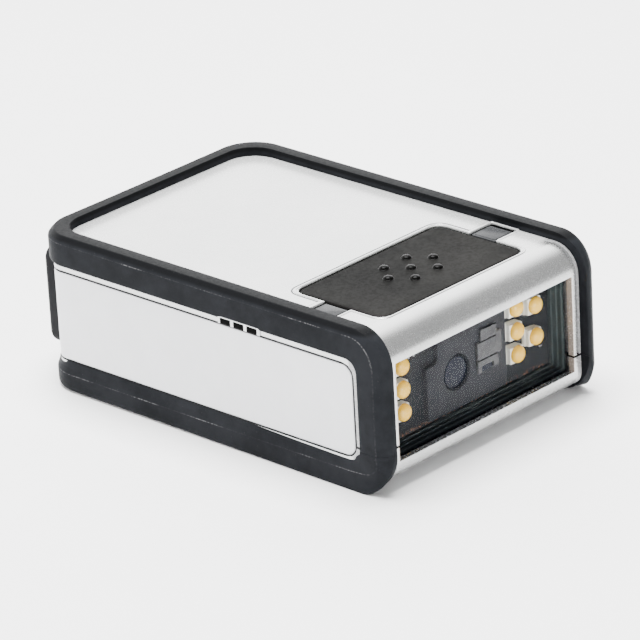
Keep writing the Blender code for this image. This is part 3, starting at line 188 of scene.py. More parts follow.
def turned(rows: list[tuple[float, float]], steps: int = 40, lobes: int = 0,
           swell: Array | None = None) -> Array:
    """Surface of revolution: r(h) * (1 + swell * cos(lobes * a)) round the height axis.

    Args:
        rows: Half section as (radius, height).
        steps: Points round the axis.
        lobes: Number of waves round the axis.
        swell: Depth of the waves in each row, as a share of the radius.

    Returns:
        Points as (row, point, axis).
    """
    table = np.array(rows, float)
    angle = np.linspace(0, 2 * math.pi, steps, endpoint=False)[None, :]
    depth = np.zeros(len(rows)) if swell is None else np.asarray(swell, float)
    radius = table[:, 0, None] * (1 + depth[:, None] * np.cos(lobes * angle))
    height = np.broadcast_to(table[:, 1, None], radius.shape)
    return np.stack([radius * np.cos(angle), radius * np.sin(angle), height], -1)


def arc_rows(inset: float, height: float, radius: float, rising: bool,
             steps: int = 4) -> list[tuple[float, float]]:
    """Quarter-round edge as (inset, height) pairs, from the side wall to the flat face.

    Args:
        inset: Inset of the side wall.
        height: Height of the flat face.
        radius: Radius of the edge.
        rising: Whether the flat face is above the wall.
        steps: Arc steps.

    Returns:
        Pairs in order, with the wall's end first.
    """
    angle = np.linspace(0, math.pi / 2, steps + 1)
    sign = 1.0 if rising else -1.0
    insets = inset + radius * (1 - np.cos(angle))
    heights = height - sign * radius * (1 - np.sin(angle))
    return list(zip(insets.tolist(), heights.tolist()))


def slab_rows(half_u: float, half_v: float, radius: float, low: float, high: float,
              top_round: float, low_round: float = 0.05,
              steps: int = 4) -> list[tuple[float, ...]]:
    """Rows for ring_stack of a flat slab with rounded edges at both faces.

    Args:
        half_u: Half width.
        half_v: Half depth.
        radius: Radius of the outline's corners.
        low: Height of the lower face.
        high: Height of the upper face.
        top_round: Radius of the upper edge.
        low_round: Radius of the lower edge.
        steps: Arc steps of the upper edge.

    Returns:
        Rows from the lower face to the upper one.
    """
    pairs = arc_rows(0.0, low, low_round, False, 2)[::-1]
    pairs += arc_rows(0.0, high, top_round, True, steps)
    return [(half_u - inset, half_v - inset, max(radius - inset, 0.02), height)
            for inset, height in pairs]


def laid(points: Array, facing: Facing, place: tuple[float, float, float]) -> Array:
    """Turn (u, v, height) points to a facing and move them to a place."""
    return points @ np.array(facing.value, float) + np.array(place, float)


# Meshes and objects


def make_piece(name: str, points: Array, faces: list, material: bpy.types.Material,
               body: Body = Body.HOUSING, crisp: float = 40.0,
               replaces: tuple[str, ...] = (), line: Array | None = None) -> bpy.types.Object:
    """Make a mesh object of the scanner with its material, body and shading.

    Args:
        name: Name of the piece.
        points: Points in millimetres.
        faces: Lists of point numbers.
        material: Material of the whole piece.
        body: CAD body that the piece rides on.
        crisp: Angle in degrees above which an edge is shaded crisp.
        replaces: CAD nodes that the piece stands for.
        line: Value from 0 to 1 of each point for the fine mould line.

    Returns:
        The new object.
    """
    mesh = bpy.data.meshes.new(name)
    mesh.from_pydata((points.reshape(-1, 3) * MM).tolist(), [], [list(face) for face in faces])
    if line is not None:
        attribute = mesh.attributes.new("mould_line", "FLOAT", "POINT")
        attribute.data.foreach_set("value", line.astype(np.float32).ravel())
    tidy_mesh(mesh, crisp)
    result = bpy.data.objects.new(name, mesh)
    bpy.context.scene.collection.objects.link(result)
    return finish_piece(result, material, body, replaces)


def tidy_mesh(mesh: bpy.types.Mesh, crisp: float) -> None:
    """Merge doubled points, point the faces outwards and set smooth shading.

    Args:
        mesh: Mesh to tidy.
        crisp: Angle in degrees above which an edge is shaded crisp.
    """
    bm = bmesh.new()
    bm.from_mesh(mesh)
    bmesh.ops.remove_doubles(bm, verts=bm.verts, dist=2e-7)
    bmesh.ops.recalc_face_normals(bm, faces=bm.faces)
    bm.to_mesh(mesh)
    bm.free()
    mesh.shade_smooth()
    mesh.set_sharp_from_angle(angle=math.radians(crisp))


def finish_piece(obj: bpy.types.Object, material: bpy.types.Material, body: Body,
                 replaces: tuple[str, ...]) -> bpy.types.Object:
    """Give an object its material, body, slot and the CAD nodes that it stands for.

    Args:
        obj: The object, in place.
        material: Material of the whole object.
        body: CAD body that it rides on.
        replaces: CAD nodes that it stands for.

    Returns:
        The same object.
    """
    obj.data.materials.clear()
    obj.data.materials.append(material)
    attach(obj, body.value)
    if replaces:
        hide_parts(*replaces)
    LOG.info("  %s with %d faces", obj.name, len(obj.data.polygons))
    return obj


def closed_stack(points: Array) -> list:
    """Faces of a stack of closed rings whose first and last rings are filled flat.

    Args:
        points: Points as (row, point, axis).

    Returns:
        Lists of point numbers.
    """
    rows, columns = points.shape[:2]
    faces = grid_faces(rows, columns, wrap_columns=True).tolist()
    faces.append(list(range(columns))[::-1])
    faces.append(list(range((rows - 1) * columns, rows * columns)))
    return faces


def loop_faces(points: Array) -> list:
    """Faces of closed rings whose last ring joins the first."""
    return grid_faces(*points.shape[:2], True, True).tolist()


def turned_faces(points: Array) -> list:
    """Faces of closed rings whose first and last rings have shrunk to a point."""
    return grid_faces(*points.shape[:2], wrap_columns=True).tolist()


def joined(parts: list[tuple[Array, list]]) -> tuple[Array, list]:
    """Points and faces of several closed surfaces as one.

    Args:
        parts: Points and faces of each surface.

    Returns:
        All points in one list, and faces that count through it.
    """
    points, faces, start = [], [], 0
    for part_points, part_faces in parts:
        flat = part_points.reshape(-1, 3)
        points.append(flat)
        faces += [[number + start for number in face] for face in part_faces]
        start += len(flat)
    return np.concatenate(points), faces


def stack_part(points: Array, facing: Facing, place: tuple[float, float, float]
               ) -> tuple[Array, list]:
    """A ring stack as a closed part, turned and placed."""
    return laid(points, facing, place), closed_stack(points)


def bevelled_copy(name: str, node: str, width: float, material: bpy.types.Material,
                  angle: float = 32.0) -> bpy.types.Object:
    """Copy of a CAD node with its sharp edges rounded, which stands for the node.

    Args:
        name: Name of the piece.
        node: CAD node to copy.
        width: Width of the rounding in millimetres.
        material: Material of the piece.
        angle: Angle in degrees above which an edge is rounded.

    Returns:
        The new object.
    """
    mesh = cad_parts[node].data.copy()
    bm = bmesh.new()
    bm.from_mesh(mesh)
    bmesh.ops.remove_doubles(bm, verts=bm.verts, dist=2e-6)
    bmesh.ops.dissolve_limit(bm, angle_limit=math.radians(0.6), verts=bm.verts, edges=bm.edges)
    bmesh.ops.recalc_face_normals(bm, faces=bm.faces)
    bm.to_mesh(mesh)
    bm.free()
    mesh.shade_smooth()
    obj = bpy.data.objects.new(name, mesh)
    bpy.context.scene.collection.objects.link(obj)
    bevel = obj.modifiers.new("round_edges", "BEVEL")
    bevel.limit_method = "ANGLE"
    bevel.angle_limit = math.radians(angle)
    bevel.width = width * MM
    bevel.segments = 2
    bevel.use_clamp_overlap = True
    bevel.miter_outer = "MITER_ARC"
    weighted = obj.modifiers.new("even_normals", "WEIGHTED_NORMAL")
    weighted.keep_sharp = False
    weighted.weight = 80
    return finish_piece(obj, material, Body.HOUSING, (node,))


# Finishes


class Sheet:
    """Small helper that writes shader nodes and joins them."""

    def __init__(self, tree: bpy.types.NodeTree) -> None:
        """Keep the tree that nodes are added to."""
        self.tree = tree

    def add(self, kind: str, **settings: object) -> bpy.types.Node:
        """Add a node and set its properties.

        Args:
            kind: Type of the node.
            settings: Properties by name.

        Returns:
            The new node.
        """
        node = self.tree.nodes.new(kind)
        for key, value in settings.items():
            setattr(node, key, value)
        return node

    def put(self, target: bpy.types.NodeSocket, value: object) -> None:
        """Join a socket to the target, or set the target's own value.

        Args:
            target: Input to fill.
            value: An output to join, or a plain value, with three parts for a colour.
        """
        if isinstance(value, bpy.types.NodeSocket):
            self.tree.links.new(value, target)
        elif target.type == "RGBA":
            target.default_value = (*value, 1.0)
        else:
            target.default_value = value

    def split(self, vector: object) -> tuple[bpy.types.NodeSocket, ...]:
        """Split a vector into its three parts.

        Args:
            vector: Socket of the vector.

        Returns:
            Sockets of x, y and z.
        """
        node = self.add("ShaderNodeSeparateXYZ")
        self.put(node.inputs[0], vector)
        return tuple(node.outputs)

    def maths(self, operation: str, first: object, second: object = 0.0,
              clamp: bool = False) -> bpy.types.NodeSocket:
        """Result of a Math node.

        Args:
            operation: What it works out.
            first: First value or socket.
            second: Second value or socket.
            clamp: Whether the result is kept from 0 to 1.

        Returns:
            The result's socket.
        """
        node = self.add("ShaderNodeMath", operation=operation, use_clamp=clamp)
        self.put(node.inputs[0], first)
        self.put(node.inputs[1], second)
        return node.outputs[0]

    def mix(self, factor: object, first: object, second: object) -> bpy.types.NodeSocket:
        """Colour between two colours.

        Args:
            factor: Share of the second one.
            first: Colour or socket at 0.
            second: Colour or socket at 1.

        Returns:
            The colour's socket.
        """
        node = self.add("ShaderNodeMix", data_type="RGBA")
        for socket, value in ((node.inputs[0], factor), (node.inputs[6], first),
                              (node.inputs[7], second)):
            self.put(socket, value)
        return node.outputs[2]

    def span(self, value: object, low: float, high: float, start: float = 0.0,
             end: float = 1.0) -> bpy.types.NodeSocket:
        """Smoothly map a value from one span to another.

        Args:
            value: Value or socket to map.
            low: Value that maps to start.
            high: Value that maps to end.
            start: Result at low and below.
            end: Result at high and above.

        Returns:
            The result's socket.
        """
        node = self.add("ShaderNodeMapRange", interpolation_type="SMOOTHSTEP")
        for index, item in enumerate((value, low, high, start, end)):
            self.put(node.inputs[index], item)
        return node.outputs[0]

    def noise(self, vector: object, scale: object, detail: float = 3.0,
              roughness: float = 0.55) -> bpy.types.NodeSocket:
        """Value of a noise texture.

        Args:
            vector: Place in the pattern.
            scale: Number of features in a metre.
            detail: Number of finer layers.
            roughness: Share of the finer layers.

        Returns:
            The value's socket.
        """
        node = self.add("ShaderNodeTexNoise")
        self.put(node.inputs["Vector"], vector)
        self.put(node.inputs["Scale"], scale)
        node.inputs["Detail"].default_value = detail
        node.inputs["Roughness"].default_value = roughness
        return node.outputs[0]


def shared_group(name: str, inputs: tuple[tuple[str, str, object], ...],
                 outputs: tuple[tuple[str, str], ...]) -> tuple[bpy.types.NodeTree, bool]:
    """Find or start a shader node group with named sockets.

    Args:
        name: Name of the group.
        inputs: Name, socket kind and default of each input.
        outputs: Name and socket kind of each output.

    Returns:
        The group, and whether it is new.
    """
    if name in bpy.data.node_groups:
        return bpy.data.node_groups[name], False
    group = bpy.data.node_groups.new(name, "ShaderNodeTree")
    for label, kind, default in inputs:
        socket = group.interface.new_socket(label, in_out="INPUT", socket_type=kind)
        if default is not None:
            socket.default_value = default
    for label, kind in outputs:
        group.interface.new_socket(label, in_out="OUTPUT", socket_type=kind)
    return group, True


def grain_group() -> bpy.types.NodeTree:
    """Moulded grain: fine noise with a little cell pattern, as a height and a mask.

    Returns:
        The group, made once.
    """
    group, new = shared_group(
        "moulded_grain",
        (("Vector", "NodeSocketVector", None), ("Scale", "NodeSocketFloat", 2500.0)),
        (("Height", "NodeSocketFloat"), ("Mask", "NodeSocketFloat")))
    if new:
        sheet = Sheet(group)
        source, target = sheet.add("NodeGroupInput"), sheet.add("NodeGroupOutput")
        fine = sheet.noise(source.outputs["Vector"], source.outputs["Scale"], 4.0, 0.6)
        cells = sheet.add("ShaderNodeTexVoronoi", feature="SMOOTH_F1")
        sheet.put(cells.inputs["Vector"], source.outputs["Vector"])
        sheet.put(cells.inputs["Scale"], source.outputs["Scale"])
        height = sheet.maths("ADD", fine, sheet.maths("MULTIPLY", cells.outputs["Distance"], 0.35))
        sheet.put(target.inputs["Height"], height)
        sheet.put(target.inputs["Mask"], sheet.span(fine, 0.35, 0.7))
    return group


def drift_group() -> bpy.types.NodeTree:
    """Tone drift: a slow change between two colours with faint finer clouding.

    Returns:
        The group, made once.
    """
    group, new = shared_group(
        "tone_drift",
        (("Vector", "NodeSocketVector", None), ("Scale", "NodeSocketFloat", 60.0),
         ("Low", "NodeSocketColor", None), ("High", "NodeSocketColor", None)),
        (("Color", "NodeSocketColor"), ("Mask", "NodeSocketFloat")))
    if new:
        sheet = Sheet(group)
        source, target = sheet.add("NodeGroupInput"), sheet.add("NodeGroupOutput")
        slow = sheet.noise(source.outputs["Vector"], source.outputs["Scale"], 2.0)
        finer = sheet.noise(source.outputs["Vector"],
                            sheet.maths("MULTIPLY", source.outputs["Scale"], 5.0), 4.0, 0.65)
        both = sheet.maths("ADD", sheet.maths("MULTIPLY", slow, 0.6),
                           sheet.maths("MULTIPLY", finer, 0.4))
        mask = sheet.span(both, 0.36, 0.64)
        sheet.put(target.inputs["Color"],
                  sheet.mix(mask, source.outputs["Low"], source.outputs["High"]))
        sheet.put(target.inputs["Mask"], mask)
    return group


def scuff_group() -> bpy.types.NodeTree:
    """Scuffs: sparse short streaks of handling wear, as a mask.

    Returns:
        The group, made once.
    """
    group, new = shared_group(
        "handling_scuffs",
        (("Vector", "NodeSocketVector", None), ("Scale", "NodeSocketFloat", 300.0),
         ("Cover", "NodeSocketFloat", 0.5)),
        (("Mask", "NodeSocketFloat"),))
    if new:
        sheet = Sheet(group)
        source, target = sheet.add("NodeGroupInput"), sheet.add("NodeGroupOutput")
        stretch = sheet.add("ShaderNodeMapping")
        stretch.inputs["Scale"].default_value = (1.0, 0.16, 0.45)
        stretch.inputs["Rotation"].default_value = (0.4, 0.3, 0.7)
        sheet.put(stretch.inputs["Vector"], source.outputs["Vector"])
        streaks = sheet.noise(stretch.outputs[0], source.outputs["Scale"], 5.0, 0.7)
        patches = sheet.noise(source.outputs["Vector"],
                              sheet.maths("MULTIPLY", source.outputs["Scale"], 0.2), 2.0)
        sharp = sheet.span(streaks, 0.62, 0.72)
        where = sheet.span(patches, 0.48, 0.62)
        mask = sheet.maths("MULTIPLY", sheet.maths("MULTIPLY", sharp, where),
                           source.outputs["Cover"])
        sheet.put(target.inputs["Mask"], mask)
    return group


@dataclass
class Surface:
    """Coordinates, colour and height of a surface while its material is written."""

    where: bpy.types.NodeSocket
    colour: bpy.types.NodeSocket
    height: bpy.types.NodeSocket


@dataclass(frozen=True)
class Finish:
    """A moulded, painted or metal surface with tone drift, grain and scuffs."""

    name: str
    low: tuple[float, float, float]
    high: tuple[float, float, float]
    roughness: tuple[float, float] = (0.4, 0.5)
    metallic: float = 0.0
    drift_scale: float = 60.0
    grain_scale: float = 2500.0
    grain_depth: float = 0.010
    scuffs: float = 0.3
    scuff_colour: tuple[float, float, float] = (0.2, 0.2, 0.2)
    specular: float = 0.5

    def start(self) -> tuple[bpy.types.Material, Sheet, bpy.types.Node]:
        """Start a material with the constants of its shader set.

        Returns:
            The material, its sheet and its shader.
        """
        material = bpy.data.materials.new(self.name)
        material.use_nodes = True
        sheet = Sheet(material.node_tree)
        shader = material.node_tree.nodes["Principled BSDF"]
        shader.inputs["Metallic"].default_value = self.metallic
        shader.inputs["Specular IOR Level"].default_value = self.specular
        return material, sheet, shader

    def place_group(self, sheet: Sheet, group: bpy.types.NodeTree,
                    **values: object) -> bpy.types.Node:
        """Place a shared group and fill its inputs.

        Args:
            sheet: Sheet of the material.
            group: Group to place.
            values: Value or socket for each input by name.

        Returns:
            The group's node.
        """
        node = sheet.add("ShaderNodeGroup", node_tree=group)
        for label, value in values.items():
            sheet.put(node.inputs[label], value)
        return node

    def build(self) -> bpy.types.Material:
        """Make the material once: drift, scuffs and grain, then the finish's own features.

        Returns:
            The material.
        """
        if self.name in bpy.data.materials:
            return bpy.data.materials[self.name]
        material, sheet, shader = self.start()
        where = sheet.add("ShaderNodeTexCoord").outputs["Object"]
        drift = self.place_group(sheet, drift_group(), Vector=where, Scale=self.drift_scale,
                                 Low=self.low, High=self.high)
        grain = self.place_group(sheet, grain_group(), Vector=where, Scale=self.grain_scale)
        scuff = self.place_group(sheet, scuff_group(), Vector=where, Scale=self.grain_scale / 9,
                                 Cover=self.scuffs)
        colour = sheet.mix(scuff.outputs["Mask"], drift.outputs["Color"], self.scuff_colour)
        rough = sheet.maths("ADD", sheet.span(grain.outputs["Mask"], 0.0, 1.0, *self.roughness),
                            sheet.maths("MULTIPLY", scuff.outputs["Mask"], 0.15))
        surface = Surface(where, colour, grain.outputs["Height"])
        self.add_features(sheet, surface)
        bump = sheet.add("ShaderNodeBump")
        bump.inputs["Strength"].default_value = 1.0
        bump.inputs["Distance"].default_value = self.grain_depth * MM
        sheet.put(bump.inputs["Height"], surface.height)
        sheet.put(shader.inputs["Base Color"], surface.colour)
        sheet.put(shader.inputs["Roughness"], rough)
        sheet.put(shader.inputs["Normal"], bump.outputs[0])
        return material

    def add_features(self, sheet: Sheet, surface: Surface) -> None:
        """Add what only one kind of finish has: nothing for a plain one.

        Args:
            sheet: Sheet of the material.
            surface: Surface so far, which is changed in place.
        """


@dataclass(frozen=True)
class Rubber(Finish):
    """Moulded rubber with painted shade on its crest, and a parting line that shows as a fine
    broken line.
    """

    line_colour: tuple[float, float, float] = (0.10, 0.10, 0.105)
    painted_crest_shade: tuple[float, float, float] = (0.0045, 0.0048, 0.0054)
    crest_shade_z: tuple[float, float] = (26.9, 27.5)

    def add_features(self, sheet: Sheet, surface: Surface) -> None:
        """Paint shade on the crest and lighten the marked mould line in short dashes.

        Args:
            sheet: Sheet of the material.
            surface: Surface so far, which is changed in place.
        """
        mark = sheet.add("ShaderNodeAttribute", attribute_name="mould_line")
        dashes = sheet.span(sheet.noise(surface.where, 2600.0, 2.0), 0.42, 0.62, 0.15, 1.0)
        runs = sheet.span(sheet.noise(surface.where, 110.0, 1.0), 0.44, 0.66, 0.08, 1.0)
        line = sheet.maths("MULTIPLY", sheet.span(mark.outputs["Fac"], 0.45, 1.0),
                           sheet.maths("MULTIPLY", dashes, runs), clamp=True)
        specks = sheet.span(sheet.noise(surface.where, 2600.0, 1.0), 0.72, 0.80, 0.0, 0.12)
        height = sheet.split(surface.where)[2]
        # Painted shade: the rubber darkens towards the crest of the ring.
        crest = sheet.span(height, *(edge * MM for edge in self.crest_shade_z))
        darker = sheet.mix(crest, surface.colour, self.painted_crest_shade)
        lighter = sheet.mix(specks, darker, self.line_colour)
        surface.colour = sheet.mix(line, lighter, self.line_colour)
        surface.height = sheet.maths("ADD", surface.height, line)


@dataclass(frozen=True)
class Flake(Finish):
    """Satin silver paint: fine bright flakes in a pale ground."""

    flake_colour: tuple[float, float, float] = (0.70, 0.71, 0.72)
    flake_scale: float = 5200.0

    def add_features(self, sheet: Sheet, surface: Surface) -> None:
        """Scatter small bright flakes over the ground.

        Args:
            sheet: Sheet of the material.
            surface: Surface so far, which is changed in place.
        """
        cells = sheet.add("ShaderNodeTexVoronoi", feature="F1")
        sheet.put(cells.inputs["Vector"], surface.where)
        cells.inputs["Scale"].default_value = self.flake_scale
        flake = sheet.span(cells.outputs["Color"], 0.62, 0.95, 0.0, 0.18)
        surface.colour = sheet.mix(flake, surface.colour, self.flake_colour)


@dataclass(frozen=True)
class Silver(Flake):
    """Silver paint of the shells: duller on the roof, and tan on the window's side walls."""

    wall_colour: tuple[float, float, float] = (0.36, 0.30, 0.255)
    wall_x: tuple[float, float] = (21.1, 21.53)
    opening_z: tuple[float, float] = (4.9, 21.76)
    wall_depth: float = -37.3
    roof_z: float = 26.2
    roof_y: tuple[float, float] = (-34.2, -31.5)
    groove_x: float = 22.25
    groove_y: float = -33.0
    groove_shade_colour: tuple[float, float, float] = (0.33, 0.332, 0.335)
    dull_metallic: float = 0.40

    def add_features(self, sheet: Sheet, surface: Surface) -> None:
        """Add flakes, dull roof, grooves and window, paint shade into the groove, and tint the
        window's side walls.

        Args:
            sheet: Sheet of the material.
            surface: Surface so far, which is changed in place.
        """
        super().add_features(sheet, surface)
        x, y, z = sheet.split(surface.where)
        across = sheet.maths("ABSOLUTE", x)
        opening = sheet.maths("LESS_THAN", y, self.wall_depth * MM)
        for value, (low, high) in ((across, (-1.0, self.wall_x[1])), (z, self.opening_z)):
            opening = sheet.maths("MULTIPLY", opening,
                                  sheet.maths("GREATER_THAN", value, low * MM))
            opening = sheet.maths("MULTIPLY", opening, sheet.maths("LESS_THAN", value, high * MM))
        inside = sheet.maths("MULTIPLY", opening,
                             sheet.maths("GREATER_THAN", across, self.wall_x[0] * MM))
        cover = sheet.span(sheet.noise(surface.where, 2200.0, 3.0, 0.7), 0.3, 0.6, 0.8, 1.0)
        roof = sheet.maths("MULTIPLY", sheet.maths("GREATER_THAN", z, self.roof_z * MM),
                           sheet.span(y, *(edge * MM for edge in self.roof_y)))
        groove = sheet.maths("MULTIPLY",
                             sheet.maths("GREATER_THAN", across, self.groove_x * MM),
                             sheet.maths("LESS_THAN", y, self.groove_y * MM))
        plain = sheet.maths("MAXIMUM", roof, sheet.maths("MAXIMUM", opening, groove))
        dull = sheet.span(plain, 0.0, 1.0, self.metallic, self.dull_metallic)
        sheet.put(sheet.tree.nodes["Principled BSDF"].inputs["Metallic"], dull)
        # Painted shade: the silver turns grey in the groove beside the front ends of the rubber
        # limbs.
        shaded = sheet.mix(groove, surface.colour, self.groove_shade_colour)
        # A speckled tan tint on the window's side walls.
        tan_cover = sheet.maths("MULTIPLY", inside, cover)
        surface.colour = sheet.mix(tan_cover, shaded, self.wall_colour)


@dataclass(frozen=True)
class Gasket(Finish):
    """Black gasket with a painted, paler, greenish edge light on its flanks."""

    painted_flank_light: tuple[float, float, float] = (0.040, 0.052, 0.052)
    flank_x: tuple[float, float] = (20.3, 21.0)

    def add_features(self, sheet: Sheet, surface: Surface) -> None:
        """Blend to the painted flank light towards both sides of the window.

        Args:
            sheet: Sheet of the material.
            surface: Surface so far, which is changed in place.
        """
        across = sheet.maths("ABSOLUTE", sheet.split(surface.where)[0])
        flank = sheet.span(across, *(edge * MM for edge in self.flank_x))
        # Painted edge light: the flanks turn paler and greenish towards the window's sides.
        surface.colour = sheet.mix(flank, surface.colour, self.painted_flank_light)


@dataclass(frozen=True)
class Board(Finish):
    """Lacquered circuit board with faint traces, vias and copper at its lower edge."""

    trace_colour: tuple[float, float, float] = (0.10, 0.115, 0.12)
    copper: tuple[float, float, float] = (0.22, 0.11, 0.07)
    edge_height: float = -1.0

    def add_features(self, sheet: Sheet, surface: Surface) -> None:
        """Draw traces from a brick pattern, and copper specks just over the edge height.

        Args:
            sheet: Sheet of the material.
            surface: Surface so far, which is changed in place.
        """
        bricks = sheet.add("ShaderNodeTexBrick")
        bricks.inputs["Scale"].default_value = 260.0
        bricks.inputs["Mortar Size"].default_value = 0.03
        turn = sheet.add("ShaderNodeMapping")
        turn.inputs["Rotation"].default_value = (math.pi / 2, 0.0, 0.0)
        sheet.put(turn.inputs["Vector"], surface.where)
        sheet.put(bricks.inputs["Vector"], turn.outputs[0])
        faint = sheet.maths("MULTIPLY", bricks.outputs["Fac"], 0.5)
        surface.colour = sheet.mix(faint, surface.colour, self.trace_colour)
        if self.edge_height > 0:
            near = sheet.span(sheet.split(surface.where)[2], (self.edge_height + 0.75) * MM,
                              (self.edge_height + 0.15) * MM)
            specks = sheet.span(sheet.noise(surface.where, 1500.0, 3.0, 0.7), 0.52, 0.64)
            cover = sheet.maths("MULTIPLY", near, specks)
            surface.colour = sheet.mix(cover, surface.colour, self.copper)


@dataclass(frozen=True)
class ClearSheet(Finish):
    """Clear pane: nearly see-through from the front, glossier at a slant."""

    see_through: float = 0.07

    def build(self) -> bpy.types.Material:
        """Make the pane's material with faint dust and a slanting gloss.

        Returns:
            The material.
        """
        if self.name in bpy.data.materials:
            return bpy.data.materials[self.name]
        material, sheet, shader = self.start()
        where = sheet.add("ShaderNodeTexCoord").outputs["Object"]
        drift = self.place_group(sheet, drift_group(), Vector=where, Scale=self.drift_scale,
                                 Low=self.low, High=self.high)
        dust = sheet.span(sheet.noise(where, self.grain_scale, 3.0), 0.62, 0.8, 0.0, 0.05)
        slant = sheet.add("ShaderNodeLayerWeight")
        slant.inputs["Blend"].default_value = 0.5
        cubed = sheet.maths("POWER", slant.outputs["Facing"], 3.0)
        alpha = sheet.maths("ADD", sheet.maths("MULTIPLY", cubed, 0.3),
                            sheet.maths("ADD", dust, self.see_through), clamp=True)
        sheet.put(shader.inputs["Base Color"], drift.outputs["Color"])
        sheet.put(shader.inputs["Alpha"], alpha)
        sheet.put(shader.inputs["Roughness"],
                  sheet.span(dust, 0.0, 0.05, *self.roughness))
        return material


@dataclass(frozen=True)
class SoftGlow(Finish):
    """Silicone dome over a lamp: warm, with painted shade deepening the colour at the rim, and pale
    at the crown.
    """

    rim: tuple[float, float, float] = (0.36, 0.16, 0.02)

    def add_features(self, sheet: Sheet, surface: Surface) -> None:
        """Paint shade: deepen the colour where the surface turns away from the view.

        Args:
            sheet: Sheet of the material.
            surface: Surface so far, which is changed in place.
        """
        # Painted shade at the dome's rim, driven by how much the surface faces the view.
        facing = sheet.add("ShaderNodeLayerWeight")
        facing.inputs["Blend"].default_value = 0.35
        deep = sheet.span(facing.outputs["Facing"], 0.35, 1.0, 0.0, 0.5)
        surface.colour = sheet.mix(deep, surface.colour, self.rim)


